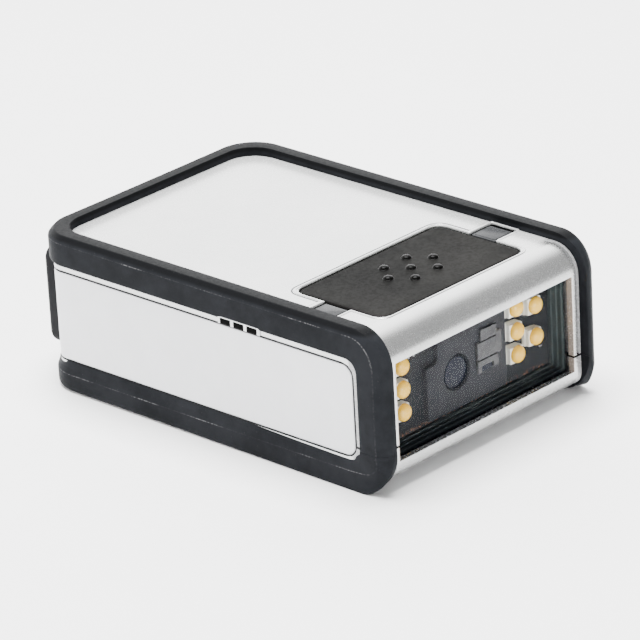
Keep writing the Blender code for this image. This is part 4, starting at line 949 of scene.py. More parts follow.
class Finishes:
    """Every finish of the scanner."""

    SILVER = Silver("satin_silver", (0.50, 0.508, 0.505), (0.545, 0.55, 0.545), (0.24, 0.28), 0.94,
                    45.0, 3000.0, 0.0012, 0.08, (0.6, 0.6, 0.6), specular=0.3)
    PANEL = Flake("panel_paint", (0.60, 0.605, 0.62), (0.64, 0.645, 0.66), (0.34, 0.42), 0.45,
                  40.0, 3000.0, 0.002, 0.10, (0.5, 0.5, 0.51), specular=0.3)
    RUBBER = Rubber("bumper_rubber", (0.0078, 0.0085, 0.0098), (0.0126, 0.0135, 0.0156),
                    (0.40, 0.50), 0.0, 90.0, 2200.0, 0.010, 0.3, (0.03, 0.03, 0.03),
                    specular=0.018, line_colour=(0.085, 0.085, 0.088))
    PAD = Finish("pad_rubber", (0.0042, 0.0042, 0.0040), (0.0098, 0.0096, 0.0090), (0.42, 0.56),
                 0.0, 45.0, 1800.0, 0.004, 0.2, (0.025, 0.025, 0.023), specular=0.010)
    # Painted shade: the dots are the pad's rubber coloured darker, for the shade on their sides.
    SHADED_DOTS = Finish("dot_rubber_shaded", (0.0012, 0.0012, 0.0011), (0.0024, 0.0024, 0.0022), (0.26, 0.36),
                  0.0, 300.0, 2400.0, 0.003, 0.1, (0.01, 0.01, 0.01), specular=0.045)
    BLACK = Finish("moulded_black", (0.007, 0.007, 0.008), (0.012, 0.012, 0.013), (0.38, 0.5),
                   0.0, 80.0, 2400.0, 0.010, 0.3, (0.03, 0.03, 0.03), specular=0.10)
    CAP = Finish("cap_black", (0.006, 0.006, 0.007), (0.010, 0.010, 0.011), (0.46, 0.56),
                 0.0, 80.0, 2400.0, 0.010, 0.3, (0.03, 0.03, 0.03), specular=0.04)
    # Painted shade: near-black for the insides of the vents and the parting gaps.
    GAP_SHADE = Finish("vent_shade_black", (0.001, 0.001, 0.001), (0.002, 0.002, 0.002), (0.6, 0.7),
                    0.0, 80.0, 2400.0, 0.010, 0.1, (0.005, 0.005, 0.005), specular=0.02)
    BARREL = Finish("barrel_black", (0.013, 0.015, 0.022), (0.018, 0.020, 0.028), (0.4, 0.5),
                    0.0, 200.0, 2400.0, 0.004, 0.1, (0.02, 0.02, 0.03), specular=0.05)
    GASKET = Gasket("gasket_black", (0.010, 0.013, 0.015), (0.016, 0.021, 0.023), (0.30, 0.42),
                    0.0, 90.0, 2600.0, 0.002, 0.10, (0.03, 0.04, 0.045), specular=0.10)
    GREY = Finish("plate_grey", (0.030, 0.031, 0.035), (0.038, 0.039, 0.044), (0.45, 0.58),
                  0.0, 70.0, 2600.0, 0.003, 0.15, (0.06, 0.06, 0.065), specular=0.05)
    MILKY = Finish("milky_lens", (0.070, 0.070, 0.074), (0.095, 0.095, 0.099), (0.24, 0.34),
                   0.0, 160.0, 2600.0, 0.002, 0.2, (0.14, 0.14, 0.14), specular=0.10)
    LIGHT = Finish("status_window", (0.022, 0.023, 0.024), (0.034, 0.035, 0.037), (0.22, 0.34),
                   0.0, 160.0, 2600.0, 0.002, 0.2, (0.06, 0.06, 0.06), specular=0.04)
    BOARD = Board("lacquered_board", (0.017, 0.018, 0.021), (0.023, 0.024, 0.027), (0.42, 0.54),
                  0.0, 90.0, 2600.0, 0.003, 0.15, (0.035, 0.035, 0.04), specular=0.05,
                  trace_colour=(0.027, 0.029, 0.031), edge_height=5.45)
    INNER_BOARD = Board("inner_board", (0.020, 0.024, 0.026), (0.028, 0.032, 0.036), (0.35, 0.5),
                        0.0, 90.0, 2600.0, 0.004, 0.2, (0.06, 0.06, 0.065), specular=0.2)
    CREAM = Finish("lamp_cream", (0.80, 0.785, 0.69), (0.87, 0.855, 0.77), (0.4, 0.5),
                   0.0, 300.0, 3000.0, 0.003, 0.1, (0.4, 0.37, 0.28), specular=0.2)
    # The rim colour of the domes is painted shade at their edges.
    DOME = SoftGlow("silicone_amber", (0.95, 0.54, 0.040), (0.98, 0.60, 0.070), (0.22, 0.30),
                    0.0, 250.0, 3000.0, 0.001, 0.0, (0.6, 0.4, 0.15), specular=0.5,
                    rim=(0.82, 0.38, 0.020))
    LENS = Finish("coated_lens", (0.012, 0.014, 0.022), (0.016, 0.018, 0.028), (0.10, 0.16),
                  0.0, 200.0, 3000.0, 0.0005, 0.0, (0.02, 0.02, 0.03), specular=0.12)
    PANE = ClearSheet("window_sheet", (0.004, 0.006, 0.007), (0.006, 0.008, 0.009), (0.02, 0.12),
                      0.0, 60.0, 900.0, specular=0.15)
    STEEL = Finish("bright_steel", (0.38, 0.38, 0.39), (0.50, 0.50, 0.51), (0.28, 0.42),
                   1.0, 200.0, 3000.0, 0.004, 0.5, (0.25, 0.25, 0.25))
    BRASS = Finish("turned_brass", (0.55, 0.40, 0.17), (0.70, 0.53, 0.25), (0.25, 0.4),
                   1.0, 200.0, 3000.0, 0.004, 0.3, (0.35, 0.25, 0.12))
    FILM = Finish("copper_film", (0.40, 0.20, 0.06), (0.50, 0.27, 0.10), (0.25, 0.35),
                  0.0, 90.0, 2600.0, 0.002, 0.2, (0.3, 0.2, 0.1))


# Sub-assemblies


@dataclass
class RubberBumpers:
    """Ring round the roof with a limb at each side of the window, and the lower tray.

    Each is one section carried along one path: from the front end of a limb, round the nose,
    back along the side, round the tail corner to the middle of the back, and the same way
    mirrored. A section point lies at a lateral place (out from the inner wall) and a radial
    place (from the edge of the side opening to the outer contour).
    """

    inner_x: float = 23.5
    outer_x: float = 26.5
    nose_y: float = -40.5
    nose_radius: float = 6.4
    tray_nose: tuple[float, float] = (7.3, 5.5)
    opening_y: float = -35.0
    opening_radius: float = 2.3
    tail_outer: tuple[float, float, float] = (19.3, 30.5, 7.2)
    tail_inner: tuple[float, float, float] = (18.0, 29.3, 5.5)
    ring_z: tuple[float, float] = (22.8, 28.0)
    ring_end: float = 7.36
    tray_z: tuple[float, float] = (5.03, 0.0)
    tray_end: float = 7.31
    foot: tuple[float, float] = (3.0, 1.5)
    foot_start: tuple[float, float] = (-33.5, -28.0)
    sharp_span: tuple[float, float] = (-30.0, 25.0)
    sharp_trims: tuple[float, float] = (0.2, 1.3)
    lip_y: tuple[float, ...] = (-31.0, -21.5, -10.6)
    lip_rise: tuple[float, ...] = (0.0, 0.15, 0.43)
    lip_end: tuple[float, float] = (21.5, 22.3)
    lip_corner: float = 0.6
    notch: tuple[float, float] = (-14.2, -4.55)
    notch_rise: float = 0.25
    notch_reach: float = 0.5

    def rail_shares(self) -> Array:
        """Places of the rail's stations, close together at the ends of the vent notch.

        Returns:
            Shares of the rail's length in order.
        """
        start = self.opening_y + self.opening_radius
        ends = (np.array(self.notch) - start) / (self.tail_inner[1] - start)
        close = (ends[:, None] + np.array([-0.0016, 0.0, 0.0016])).ravel()
        return np.sort(np.concatenate([np.linspace(0, 1, 25)[1:], close]))

    def half_path(self, end: float, inner_z: float, outer_z: float,
                  nose: float) -> tuple[Array, ...]:
        """Stations on the right half, from the limb's end to the middle of the back.

        The limb and the rail are straight, the nose joins them by two quarter arcs of one
        angle, and the tail is a quarter arc in plan. Along the rail the section leans over
        little by little, until it stands as the tail's first section does.

        Args:
            end: Height of the limb's end.
            inner_z: Height of the side opening's edge.
            outer_z: Height of the outer contour.
            nose: Radius of the outer contour's nose.

        Returns:
            Base points, lateral vectors, radial vectors and the share of the rail form.
        """
        sign = math.copysign(1.0, outer_z - inner_z)
        limb = np.linspace(0, 1, 9)[:-1]
        outer_bend = outer_z - sign * nose
        inner_bend = inner_z - sign * self.opening_radius
        turn = np.linspace(0, math.pi / 2, 17)
        rail = self.rail_shares()
        outer_y = np.concatenate([np.full(8, self.nose_y),
                                  self.nose_y + nose * (1 - np.cos(turn)),
                                  self.nose_y + nose
                                  + rail * (self.tail_outer[1] - self.nose_y - nose)])
        outer_h = np.concatenate([end + limb * (outer_bend - end),
                                  outer_bend + sign * nose * np.sin(turn),
                                  np.full(len(rail), outer_z)])
        inner_y = np.concatenate([np.full(8, self.opening_y),
                                  self.opening_y + self.opening_radius * (1 - np.cos(turn)),
                                  self.opening_y + self.opening_radius
                                  + rail * (self.tail_inner[1] - self.opening_y
                                            - self.opening_radius)])
        inner_h = np.concatenate([end + limb * (inner_bend - end),
                                  inner_bend + sign * self.opening_radius * np.sin(turn),
                                  np.full(len(rail), inner_z)])
        side = np.full(len(inner_y), self.inner_x)
        base = np.stack([side, inner_y, inner_h], -1)
        lean = ((self.tail_outer[1] - self.tail_inner[1])
                * np.concatenate([np.zeros(len(side) - len(rail)), rail]))
        lateral = np.stack([side * 0 + self.outer_x - self.inner_x, lean, 0 * side], -1)
        radial = np.stack([0 * side, outer_y - inner_y - lean, outer_h - inner_h], -1)
        share = np.concatenate([np.zeros(8), (1 - np.cos(2 * turn)) / 2, np.ones(len(rail))])

        angle = np.linspace(0, math.pi / 2, 17)[1:]
        tail_in, tail_out = (np.stack([x + radius * np.cos(angle), y + radius * np.sin(angle)], -1)
                             for x, y, radius in (self.tail_inner, self.tail_outer))
        back = np.linspace(1, 0, 9)[1:, None] * np.array([1.0, 0.0])
        in_back = back * tail_in[-1] + np.array([0.0, 1.0]) * tail_in[-1]
        out_back = back * tail_out[-1] + np.array([0.0, 1.0]) * tail_out[-1]
        inside = np.concatenate([tail_in, in_back])
        outside = np.concatenate([tail_out, out_back])
        level = np.full((len(inside), 1), inner_z)
        tail_base = np.concatenate([inside, level], 1)
        tail_lateral = np.concatenate([outside - inside, 0 * level], 1)
        tail_radial = np.tile([0.0, 0.0, outer_z - inner_z], (len(inside), 1))
        return (np.concatenate([base, tail_base]), np.concatenate([lateral, tail_lateral]),
                np.concatenate([radial, tail_radial]),
                np.concatenate([share, np.ones(len(inside))]))

    def whole_path(self, end: float, inner_z: float, outer_z: float,
                   nose: float) -> tuple[Array, ...]:
        """The half path and its mirror image, as one path across the back.

        Args:
            end: Height of the limb's end.
            inner_z: Height of the side opening's edge.
            outer_z: Height of the outer contour.
            nose: Radius of the outer contour's nose.

        Returns:
            Base points, lateral vectors, radial vectors and the share of the rail form.
        """
        base, lateral, radial, share = self.half_path(end, inner_z, outer_z, nose)
        flip = np.array([-1.0, 1.0, 1.0])
        return tuple(np.concatenate([part, (part[:-1] * flip)[::-1]])
                     for part in (base, lateral, radial)) + (
                         np.concatenate([share, share[:-1][::-1]]),)

    def swept(self, path: tuple[Array, ...], limb: Array, rail: Array, line_corner: int,
              steps: int = 6) -> tuple[Array, list, Array]:
        """Carry a section along a path.

        A corner is (share of the lateral width, lateral offset, share of the radial depth,
        radial offset, trim), blended from the limb's table to the rail's by the station's
        share: p = base + l * (share_l * width + offset_l) + r * (share_r * depth + offset_r).

        Args:
            path: Stations from whole_path.
            limb: Corner table of the limb.
            rail: Corner table of the rail, or one table for each station.
            line_corner: Corner that carries the mould line.
            steps: Points that stand for each corner.

        Returns:
            Points, faces and the mould line's value at each point.
        """
        base, lateral, radial, share = path
        width = np.linalg.norm(lateral, axis=1)[:, None]
        depth = np.linalg.norm(radial, axis=1)[:, None]
        table = limb[None] + (rail - limb) * share[:, None, None]
        corners = np.stack([table[..., 0] * width + table[..., 1],
                            table[..., 2] * depth + table[..., 3]], -1)
        section = round_corners(corners, table[..., 4], steps)
        points = (base[:, None] + section[..., :1] * (lateral / width)[:, None]
                  + section[..., 1:] * (radial / depth)[:, None])
        line = np.zeros(points.shape[:2])
        middle = line_corner * steps + steps // 2 - 1
        line[:, middle:middle + 2] = 1.0
        return points, closed_stack(points), line

    def notched(self, points: Array) -> Array:
        """Raise the ring's lower lip over the vents of the left side.

        Points in the notch's span whose height is within half a millimetre of the lip rise
        by the notch's depth.

        Args:
            points: Points of the ring.

        Returns:
            The same points.
        """
        low, high = self.notch
        inside = ((points[..., 0] < 0) & (points[..., 1] > low) & (points[..., 1] < high)
                  & (points[..., 2] < self.ring_z[0] + self.notch_reach))
        points[..., 2] += self.notch_rise * inside
        return points

    def rounded_nose(self, points: Array) -> Array:
        """Round the tray's nose more towards the chin than at its outer side.

        The radius falls from the inner to the outer side of the limb. A point beyond the arc
        of its radius, in the corner that the arc bounds, is drawn back onto the arc.

        Args:
            points: Points of the tray.

        Returns:
            The same points, moved where they lay beyond their arc.
        """
        share = np.clip((np.abs(points[..., 0]) - self.inner_x)
                        / (self.outer_x - self.inner_x), 0, 1)
        radius = self.tray_nose[0] + (self.tray_nose[1] - self.tray_nose[0]) * share
        centre_y = self.nose_y + radius
        away_y, away_z = points[..., 1] - centre_y, points[..., 2] - radius
        reach = np.hypot(away_y, away_z)
        beyond = (away_y < 0) & (away_z < 0) & (reach > radius)
        scale = np.where(beyond, radius / np.maximum(reach, 1e-9), 1.0)
        points[..., 1] = np.where(beyond, centre_y + away_y * scale, points[..., 1])
        points[..., 2] = np.where(beyond, radius + away_z * scale, points[..., 2])
        return points

    def build_ring(self) -> None:
        """Build the upper ring with its two limbs."""
        limb = np.array([(0, 0, 0, 0, 0.1), (0, 0, 1, 0, 0.2), (1, -2.1, 1, 0, 0.8),
                         (1, -0.75, 1, -0.7, 0.6), (1, 0, 1, -2.0, 0.5), (1, 0, 0, 0, 0.3)], float)
        rail = np.array([(0, 0, 0, 0, 0.1), (0, -0.3, 1, 0, 0.12), (1, -1.05, 1, 0, 0.2),
                         (1, -0.5, 1, -0.55, 0.1), (1, 0, 1, -1.15, 0.25),
                         (1, 0, 0, 0, 0.45)], float)
        path = self.whole_path(self.ring_end, *self.ring_z, self.nose_radius)
        points, faces, line = self.swept(path, limb, rail, 4)
        points = self.notched(points)
        make_piece("ring_bumper", points, faces, Finishes.RUBBER.build(),
                   replaces=("top_bumper",), line=line)

    def build_tray(self) -> None:
        """Build the lower tray: nose corners, a rail with a sloped upper band, and a foot.

        The foot's reach grows from nothing behind the nose, the rail's bottom corner is
        sharper near the nose than at the tail, and the lip rises along the panel, drops again
        under the cap and fills the opening's corner by 4 c (1 - s) s at the share s.
        """
        reach, thick = self.foot
        limb = np.array([(0, 0, 0, 0, 0.1), (1, -0.15, 0, 0, 0.1), (1, 0, 0, 0.15, 0.1),
                         (1, 0, 1, -2.0, 0.5), (1, -0.75, 1, -0.7, 0.6), (1, -2.1, 1, 0, 0.8),
                         (0, 0, 1, 0, 0.4), (0, 0, 1, -0.3, 0.05), (0, 0, 1, -0.6, 0.05)], float)
        rail = np.array([(0, 0, 0, 0, 0.1), (1, -0.62, 0, 0, 0.15), (1, -0.42, 0, 0.75, 0.2),
                         (1, 0, 0, 1.75, 0.28), (1, 0, 0, 2.63, 0.3), (1, 0, 1, 0, 1.0),
                         (0, -reach, 1, 0, 0.3), (0, -reach, 1, -thick, 0.3),
                         (0, 0, 1, -thick, 0.05)], float)
        path = self.whole_path(self.tray_end, *self.tray_z, self.tray_nose[1])
        across, along = np.abs(path[0][:, 0]), path[0][:, 1]
        rails = np.repeat(rail[None], len(along), 0)
        rise = np.interp(along, self.lip_y, self.lip_rise) * np.interp(across, self.lip_end, (0, 1))
        rails[:, :2, 3] -= (rise + 4 * self.lip_corner * (1 - path[3]))[:, None]
        rails[:, 5, 4] = np.interp(along, self.sharp_span, self.sharp_trims)
        rails[:, 6:8, 1] *= np.interp(along, self.foot_start, (0.0, 1.0))[:, None]
        points, faces, line = self.swept(path, limb, rails, 3)
        points = self.rounded_nose(points)
        make_piece("tray_bumper", points, faces, Finishes.RUBBER.build(),
                   replaces=("bottom_bumper",), line=line)

    def build(self) -> None:
        """Build both bumpers."""
        self.build_ring()
        self.build_tray()


@dataclass
class Shells:
    """Upper and lower silver shells, with all their small edges rounded."""

    edge: float = 0.16

    def build(self) -> None:
        """Dress both shells."""
        silver = Finishes.SILVER.build()
        bevelled_copy("upper_shell", "top_shell", self.edge, silver)
        bevelled_copy("lower_shell", "bottom_shell", self.edge, silver)


@dataclass
class PartingGapShade:
    """Dark strips deep in the parting gap at both pillars of the window, as painted shade for the
    gap.
    """

    span_x: tuple[float, float] = (21.6, 23.4)
    span_y: tuple[float, float] = (-38.97, -37.2)
    height: tuple[float, float] = (7.26, 7.78)

    def build(self) -> None:
        """Build the two strips as one piece."""
        half_x, half_y = ((high - low) / 2 for low, high in (self.span_x, self.span_y))
        rows = slab_rows(half_x, half_y, 0.15, *self.height, 0.04, 0.04, 2)
        middle_x, middle_y = sum(self.span_x) / 2, sum(self.span_y) / 2
        points, faces = joined([stack_part(ring_stack(rows, 3), Facing.UP, (side * middle_x,
                                                                            middle_y, 0.0))
                                for side in (-1, 1)])
        # Painted shade: near-black slabs fill the gap where it falls into shadow.
        make_piece("parting_shade_strips", points, faces, Finishes.GAP_SHADE.build())


@dataclass
class VentFrame:
    """Silver frame round the three vents over the left panel, with black throats in it as painted
    shade for the vents' insides.
    """

    span: tuple[float, float] = (4.72, 14.0)
    low: float = 21.62
    high: float = 22.90
    slots: tuple[float, ...] = (6.32, 9.25, 12.18)
    half_slot: float = 1.15
    slot_top: float = 22.67
    face_x: float = 25.98
    depth: float = 0.9

    def comb(self) -> Array:
        """Outline of the frame: a bar along the top with four legs down between the slots.

        Returns:
            Outline as (point, axis).
        """
        first, last = self.span
        edges = [edge for middle in self.slots
                 for edge in (middle - self.half_slot, middle + self.half_slot)]
        corners = [(first, self.low)]
        for start, end in zip(edges[::2], edges[1::2]):
            corners += [(start, self.low), (start, self.slot_top), (end, self.slot_top),
                        (end, self.low)]
        corners += [(last, self.low), (last, self.high), (first, self.high)]
        return round_corners(np.array([corners], float), np.array(0.07), 3)[0]

    def build(self) -> None:
        """Build the frame and the throats behind it."""
        rows = [(0.0, self.face_x - self.depth), (0.0, self.face_x - 0.04), (0.04, self.face_x)]
        points = raised(self.comb(), rows)
        make_piece("vent_frame", laid(points, Facing.LEFT, (0.0, 0.0, 0.0)),
                   closed_stack(points), Finishes.SILVER.build())
        # Painted shade: black slabs in the slots stand in for the dark inside the vents.
        throats = [stack_part(ring_stack(slab_rows(
            self.half_slot - 0.02, (self.slot_top - self.low) / 2 - 0.02, 0.05,
            self.face_x - self.depth, self.face_x - 0.14, 0.03), 3), Facing.LEFT,
            (0.0, -middle, (self.slot_top + self.low) / 2)) for middle in self.slots]
        points, faces = joined(throats)
        make_piece("vent_shade_slabs", points, faces, Finishes.GAP_SHADE.build())


@dataclass
class SidePanels:
    """Silver inserts that run along the sides and wrap round the back corners."""

    face_x: float = 25.8
    front_y: float = -33.57
    back_y: float = 34.9
    turn_radius: float = 3.0
    return_x: float = 21.9
    low: float = 5.63
    high: float = 21.40
    corner: float = 2.0
    thick: float = 1.0
    edge: float = 0.28
    gap_shade_depth: float = 0.06
    gap_shade_insets: tuple[float, float] = (0.02, -0.28)
    gap_shade_foot: float = 0.9

    def length(self) -> float:
        """Length of the panel along its face."""
        return (self.back_y - self.turn_radius - self.front_y + math.pi / 2 * self.turn_radius
                + self.face_x - self.turn_radius - self.return_x)

    def face_points(self) -> tuple[Array, Array]:
        """Grid of the face, with rows and columns close together at the edges.

        At the front the height closes in to the round corner: c - sqrt(c^2 - (c - run)^2).

        Returns:
            Run along the panel and height of each point.
        """
        length = self.length()
        edge = self.edge * (1 - np.cos(np.linspace(0, math.pi / 2, 6)))
        near = np.concatenate([edge, np.linspace(self.edge, self.corner, 10)[1:]])
        straight = self.back_y - self.turn_radius - self.front_y
        run = np.concatenate([near, np.linspace(self.corner, straight, 30)[1:],
                              np.linspace(straight, length, 22)[1:]])
        half = (self.high - self.low) / 2
        rise = np.concatenate([edge, np.linspace(self.edge, half, 12)[1:]])
        share = np.concatenate([rise, 2 * half - rise[::-1][1:]]) / (2 * half)
        drop = np.where(run < self.corner,
                        self.corner - np.sqrt(np.maximum(
                            self.corner ** 2 - (self.corner - run) ** 2, 0)), 0.0)
        height = self.low + drop[:, None] + share[None, :] * (2 * half - 2 * drop[:, None])
        return np.broadcast_to(run[:, None], height.shape), height

    def sunk(self, run: Array, height: Array) -> Array:
        """Depth below the face: a quarter round of the edge radius within that radius.

        The distance to the rounded outline is that of a rectangle with round front corners.

        Args:
            run: Run along the panel.
            height: Height of each point.

        Returns:
            Depth of each point.
        """
        half = (self.high - self.low) / 2
        across = np.abs(height - (self.low + self.high) / 2) - (half - self.corner)
        along = self.corner - run
        both = np.hypot(np.maximum(across, 0), np.maximum(along, 0))
        inside = self.corner - both - np.minimum(np.maximum(across, along), 0)
        short = np.clip(self.edge - inside, 0, self.edge)
        return self.edge - np.sqrt(np.maximum(self.edge ** 2 - short ** 2, 0))

    def bent(self, run: Array, height: Array, depth: Array) -> Array:
        """Wrap flat points round the back corner: straight, quarter turn, straight.

        Args:
            run: Run along the panel.
            height: Height of each point.
            depth: Depth below the face.

        Returns:
            Points of the right side.
        """
        straight = self.back_y - self.turn_radius - self.front_y
        arc_length = math.pi / 2 * self.turn_radius
        angle = np.clip((run - straight) / self.turn_radius, 0, math.pi / 2)
        radius = self.turn_radius - depth
        beyond = np.maximum(run - straight - arc_length, 0)
        x = self.face_x - self.turn_radius + radius * np.cos(angle) - beyond
        y = self.front_y + np.minimum(run, straight) + radius * np.sin(angle)
        return np.stack([x, y, height], -1)

    def gap_shade_strip(self) -> tuple[Array, list]:
        """Dark strip of painted shade in the gap round the panel: four rings round its outline,
        then bent.

        Returns:
            Points and faces.
        """
        middle, half = (self.high + self.low) / 2, (self.high - self.low) / 2
        length = self.length()
        outline = ring_stack([(length / 2, half, self.corner, 0.0, length / 2, middle)], 14)[0]
        near, far = self.gap_shade_insets
        ring = raised(evened(outline[:, :2], 640),
                      [(near, self.gap_shade_foot), (near, self.gap_shade_depth),
                       (far, self.gap_shade_depth), (far, self.gap_shade_foot)])
        points = self.bent(ring[..., 0], ring[..., 1], ring[..., 2])
        return points, loop_faces(points)

    def build(self) -> None:
        """Build both panels as closed strips, with a dark strip of painted shade in the gap round
        each.
        """
        run, height = self.face_points()
        face = self.bent(run, height, self.sunk(run, height))
        back = self.bent(run, height, np.full(run.shape, self.thick))
        rows, columns = run.shape
        faces = grid_faces(rows, columns).tolist()
        faces += (grid_faces(rows, columns)[:, ::-1] + rows * columns).tolist()
        rim = np.concatenate([np.arange(columns), np.arange(1, rows) * columns + columns - 1,
                              (rows - 1) * columns + np.arange(columns - 2, -1, -1),
                              np.arange(rows - 2, 0, -1) * columns])
        after = np.roll(rim, -1)
        faces += np.stack([rim, after, after + rows * columns, rim + rows * columns], -1).tolist()
        points = np.concatenate([face.reshape(-1, 3), back.reshape(-1, 3)])
        for name, side, node in (("left_panel", -1.0, "side_panel_left"),
                                 ("right_panel", 1.0, "side_panel_right")):
            flip = np.array([side, 1.0, 1.0])
            make_piece(name, points * flip, faces, Finishes.PANEL.build(),
                       replaces=(node,))
            # Painted shade: the dark strip in the gap stands in for the shadow between panel and
            # shell.
            strip, strip_faces = self.gap_shade_strip()
            make_piece(name + "_gap_shade", strip * flip, strip_faces, Finishes.BLACK.build())


@dataclass
class TriggerPad:
    """Dotted rubber pad in the roof, with a rounded edge."""

    half_x: float = 17.23
    front: float = -32.73
    back: float = -13.86
    corner: float = 1.9
    low: float = 25.25
    top: float = 26.35
    edge: float = 0.35
    dot_radius: float = 0.85
    dot_height: float = 0.55
    dot_foot: float = 0.22
    pitch: tuple[float, float] = (5.45, 3.4)
    rows: tuple[int, ...] = (2, 3, 2)
    dots_at: tuple[float, float] = (1.0, -22.5)

    def dot_places(self) -> Array:
        """Centres of the dots in rows of two, three and two.

        Returns:
            Centres as (dot, axis).
        """
        places = [(self.dots_at[0] + (column - (count - 1) / 2) * self.pitch[0],
                   self.dots_at[1] + (row - (len(self.rows) - 1) / 2) * self.pitch[1])
                  for row, count in enumerate(self.rows) for column in range(count)]
        return np.array(places)

    def dot(self) -> Array:
        """Round dome with a small foot fillet: radius and height follow two quarter arcs.

        Returns:
            Points as (row, point, axis).
        """
        foot = np.linspace(0, math.pi / 2, 5)
        dome = np.linspace(0, math.pi / 2, 8)[1:]
        rows = [(self.dot_radius + self.dot_foot * (1 - math.sin(a)),
                 0.10 * (1 - math.cos(a)) - 0.02) for a in foot]
        rows += [(self.dot_radius * math.cos(a), 0.08 + (self.dot_height - 0.08) * math.sin(a))
                 for a in dome]
        rows[-1] = (0.0, self.dot_height)
        return turned([(self.dot_radius + self.dot_foot, -0.25)] + rows, 32)

    def build(self) -> None:
        """Build the pad, and its dots as a second piece with a smoother finish and a darker colour
        of painted shade.
        """
        middle = (self.front + self.back) / 2
        half_y = (self.back - self.front) / 2
        rows = slab_rows(self.half_x, half_y, self.corner, self.low, self.top, self.edge)
        rows += [(self.half_x - inset, half_y - inset, max(self.corner - inset, 0.3), self.top)
                 for inset in (1.0, 2.5, 5.0, 8.0)]
        points, faces = stack_part(ring_stack(rows, 10), Facing.UP, (0.0, middle, 0.0))
        make_piece("dotted_pad", points, faces, Finishes.PAD.build(), Body.TRIGGER, crisp=50.0,
                   replaces=("trigger_pad",))
        dot = self.dot()
        points, faces = joined([stack_part(dot, Facing.UP, (x, y, self.top))
                                for x, y in self.dot_places()])
        make_piece("pad_dots", points, faces, Finishes.SHADED_DOTS.build(), Body.TRIGGER, crisp=50.0)


@dataclass
class RecessRim:
    """Fine silver bead round the recess of the pad and the light windows, with a line of painted
    shade outside it.
    """

    corners: tuple[tuple[float, float], ...] = (
        (17.62, -33.08), (17.62, -26.35), (23.10, -26.35), (23.10, -20.65), (17.62, -20.65),
        (17.62, -13.50))
    outer_trim: float = 2.0
    inner_trim: float = 0.35
    width: float = 0.46
    rise: float = 0.13
    top: float = 26.45
    shade_line: tuple[float, float] = (0.60, 0.84)
    shade_line_front: float = -20.0
    shade_line_rise: float = 0.015
    root: float = 0.3

    def build(self) -> None:
        """Build the bead, half a flattened circle carried round the recess, and a thin grey line of
        painted shade just outside it.
        """
        right = np.array(self.corners, float)
        left = right[::-1] * np.array([-1.0, 1.0])
        trims = np.array([self.outer_trim] + [self.inner_trim] * 4 + [self.outer_trim])
        outline = round_corners(np.concatenate([right, left])[None],
                                np.concatenate([trims, trims]), 7)[0]
        outline = evened(outline, 420)
        angle = np.linspace(0, math.pi, 9)
        half = self.width / 2
        rows = [(-half * (1 + math.cos(a)), self.top + self.rise * math.sin(a)) for a in angle]
        foot = self.top - self.root
        rows = [(-2 * half, foot)] + rows + [(0.0, foot)]
        points = raised(outline, rows)
        faces = loop_faces(points)
        make_piece("recess_rim", points, faces, Finishes.SILVER.build())
        # Painted shade: a thin grey strip outside the bead stands in for the shadow of a fine
        # groove.
        near, far = self.shade_line
        crest = self.top + self.shade_line_rise
        points = raised(outline, [(-near, foot), (-near, crest), (-far, crest), (-far, foot)])
        points[..., 2] -= np.where(points[..., 1] < self.shade_line_front, self.rise, 0.0)
        faces = loop_faces(points)
        make_piece("recess_shade_line", points, faces, Finishes.GREY.build())


@dataclass
class StatusLights:
    """Milky grey windows at the sides of the pad."""

    inner: float = 17.62
    outer: float = 22.4
    front: float = -26.1
    back: float = -20.9
    low: float = 24.6
    top: float = 26.33

    def build(self) -> None:
        """Build both windows with a fine step round the edge."""
        half_x, half_y = (self.outer - self.inner) / 2, (self.back - self.front) / 2
        rows = slab_rows(half_x, half_y, 0.3, self.low, self.top - 0.12, 0.12)
        rows += slab_rows(half_x - 0.35, half_y - 0.35, 0.3, self.top - 0.1, self.top, 0.08)[3:]
        for name, side in (("left", -1), ("right", 1)):
            place = (side * (self.inner + self.outer) / 2, (self.front + self.back) / 2, 0.0)
            points = ring_stack(rows, 4)
            make_piece("light_window_" + name, laid(points, Facing.UP, place),
                       closed_stack(points), Finishes.LIGHT.build(),
                       replaces=("status_light_" + name,))


@dataclass
class FrontWindow:
    """Clear pane behind the window's lip and the stepped black gasket behind it."""

    half_x: float = 21.9
    low: float = 4.4
    high: float = 22.3
    pane: tuple[float, float] = (-37.6, -37.0)
    gasket: tuple[float, float] = (-36.7, -34.1)
    rail: float = 0.6

    def build_pane(self) -> None:
        """Build the pane with ground edges."""
        rows = slab_rows(self.half_x, (self.high - self.low) / 2, 0.3,
                         -self.pane[1], -self.pane[0], 0.1, 0.1, 2)
        points = ring_stack(rows, 3)
        place = (0.0, 0.0, (self.low + self.high) / 2)
        make_piece("front_pane", laid(points, Facing.FRONT, place), closed_stack(points),
                   Finishes.PANE.build(), replaces=("window_pane",))

    def build_gasket(self) -> None:
        """Build the gasket: a closed frame whose inner wall steps in towards the board."""
        half_v = (self.high - self.low) / 2
        front, back = -self.gasket[0], -self.gasket[1]
        steps = ((0.0, back), (0.0, front), (self.rail - 0.15, front), (self.rail, front - 0.15),
                 (self.rail, front - 0.9), (self.rail + 0.25, front - 1.0),
                 (self.rail + 0.25, front - 1.8), (self.rail + 0.5, front - 1.9),
                 (self.rail + 0.5, back))
        rows = [(self.half_x - inset, half_v - inset, 0.25, height) for inset, height in steps]
        points = ring_stack(rows, 3)
        faces = loop_faces(points)
        place = (0.0, 0.0, (self.low + self.high) / 2)
        make_piece("window_gap_shade", laid(points, Facing.FRONT, place), faces,
                   Finishes.GASKET.build(), crisp=25.0,
                   replaces=("window_gasket",))

    def build(self) -> None:
        """Build the pane and the gasket."""
        self.build_pane()
        self.build_gasket()


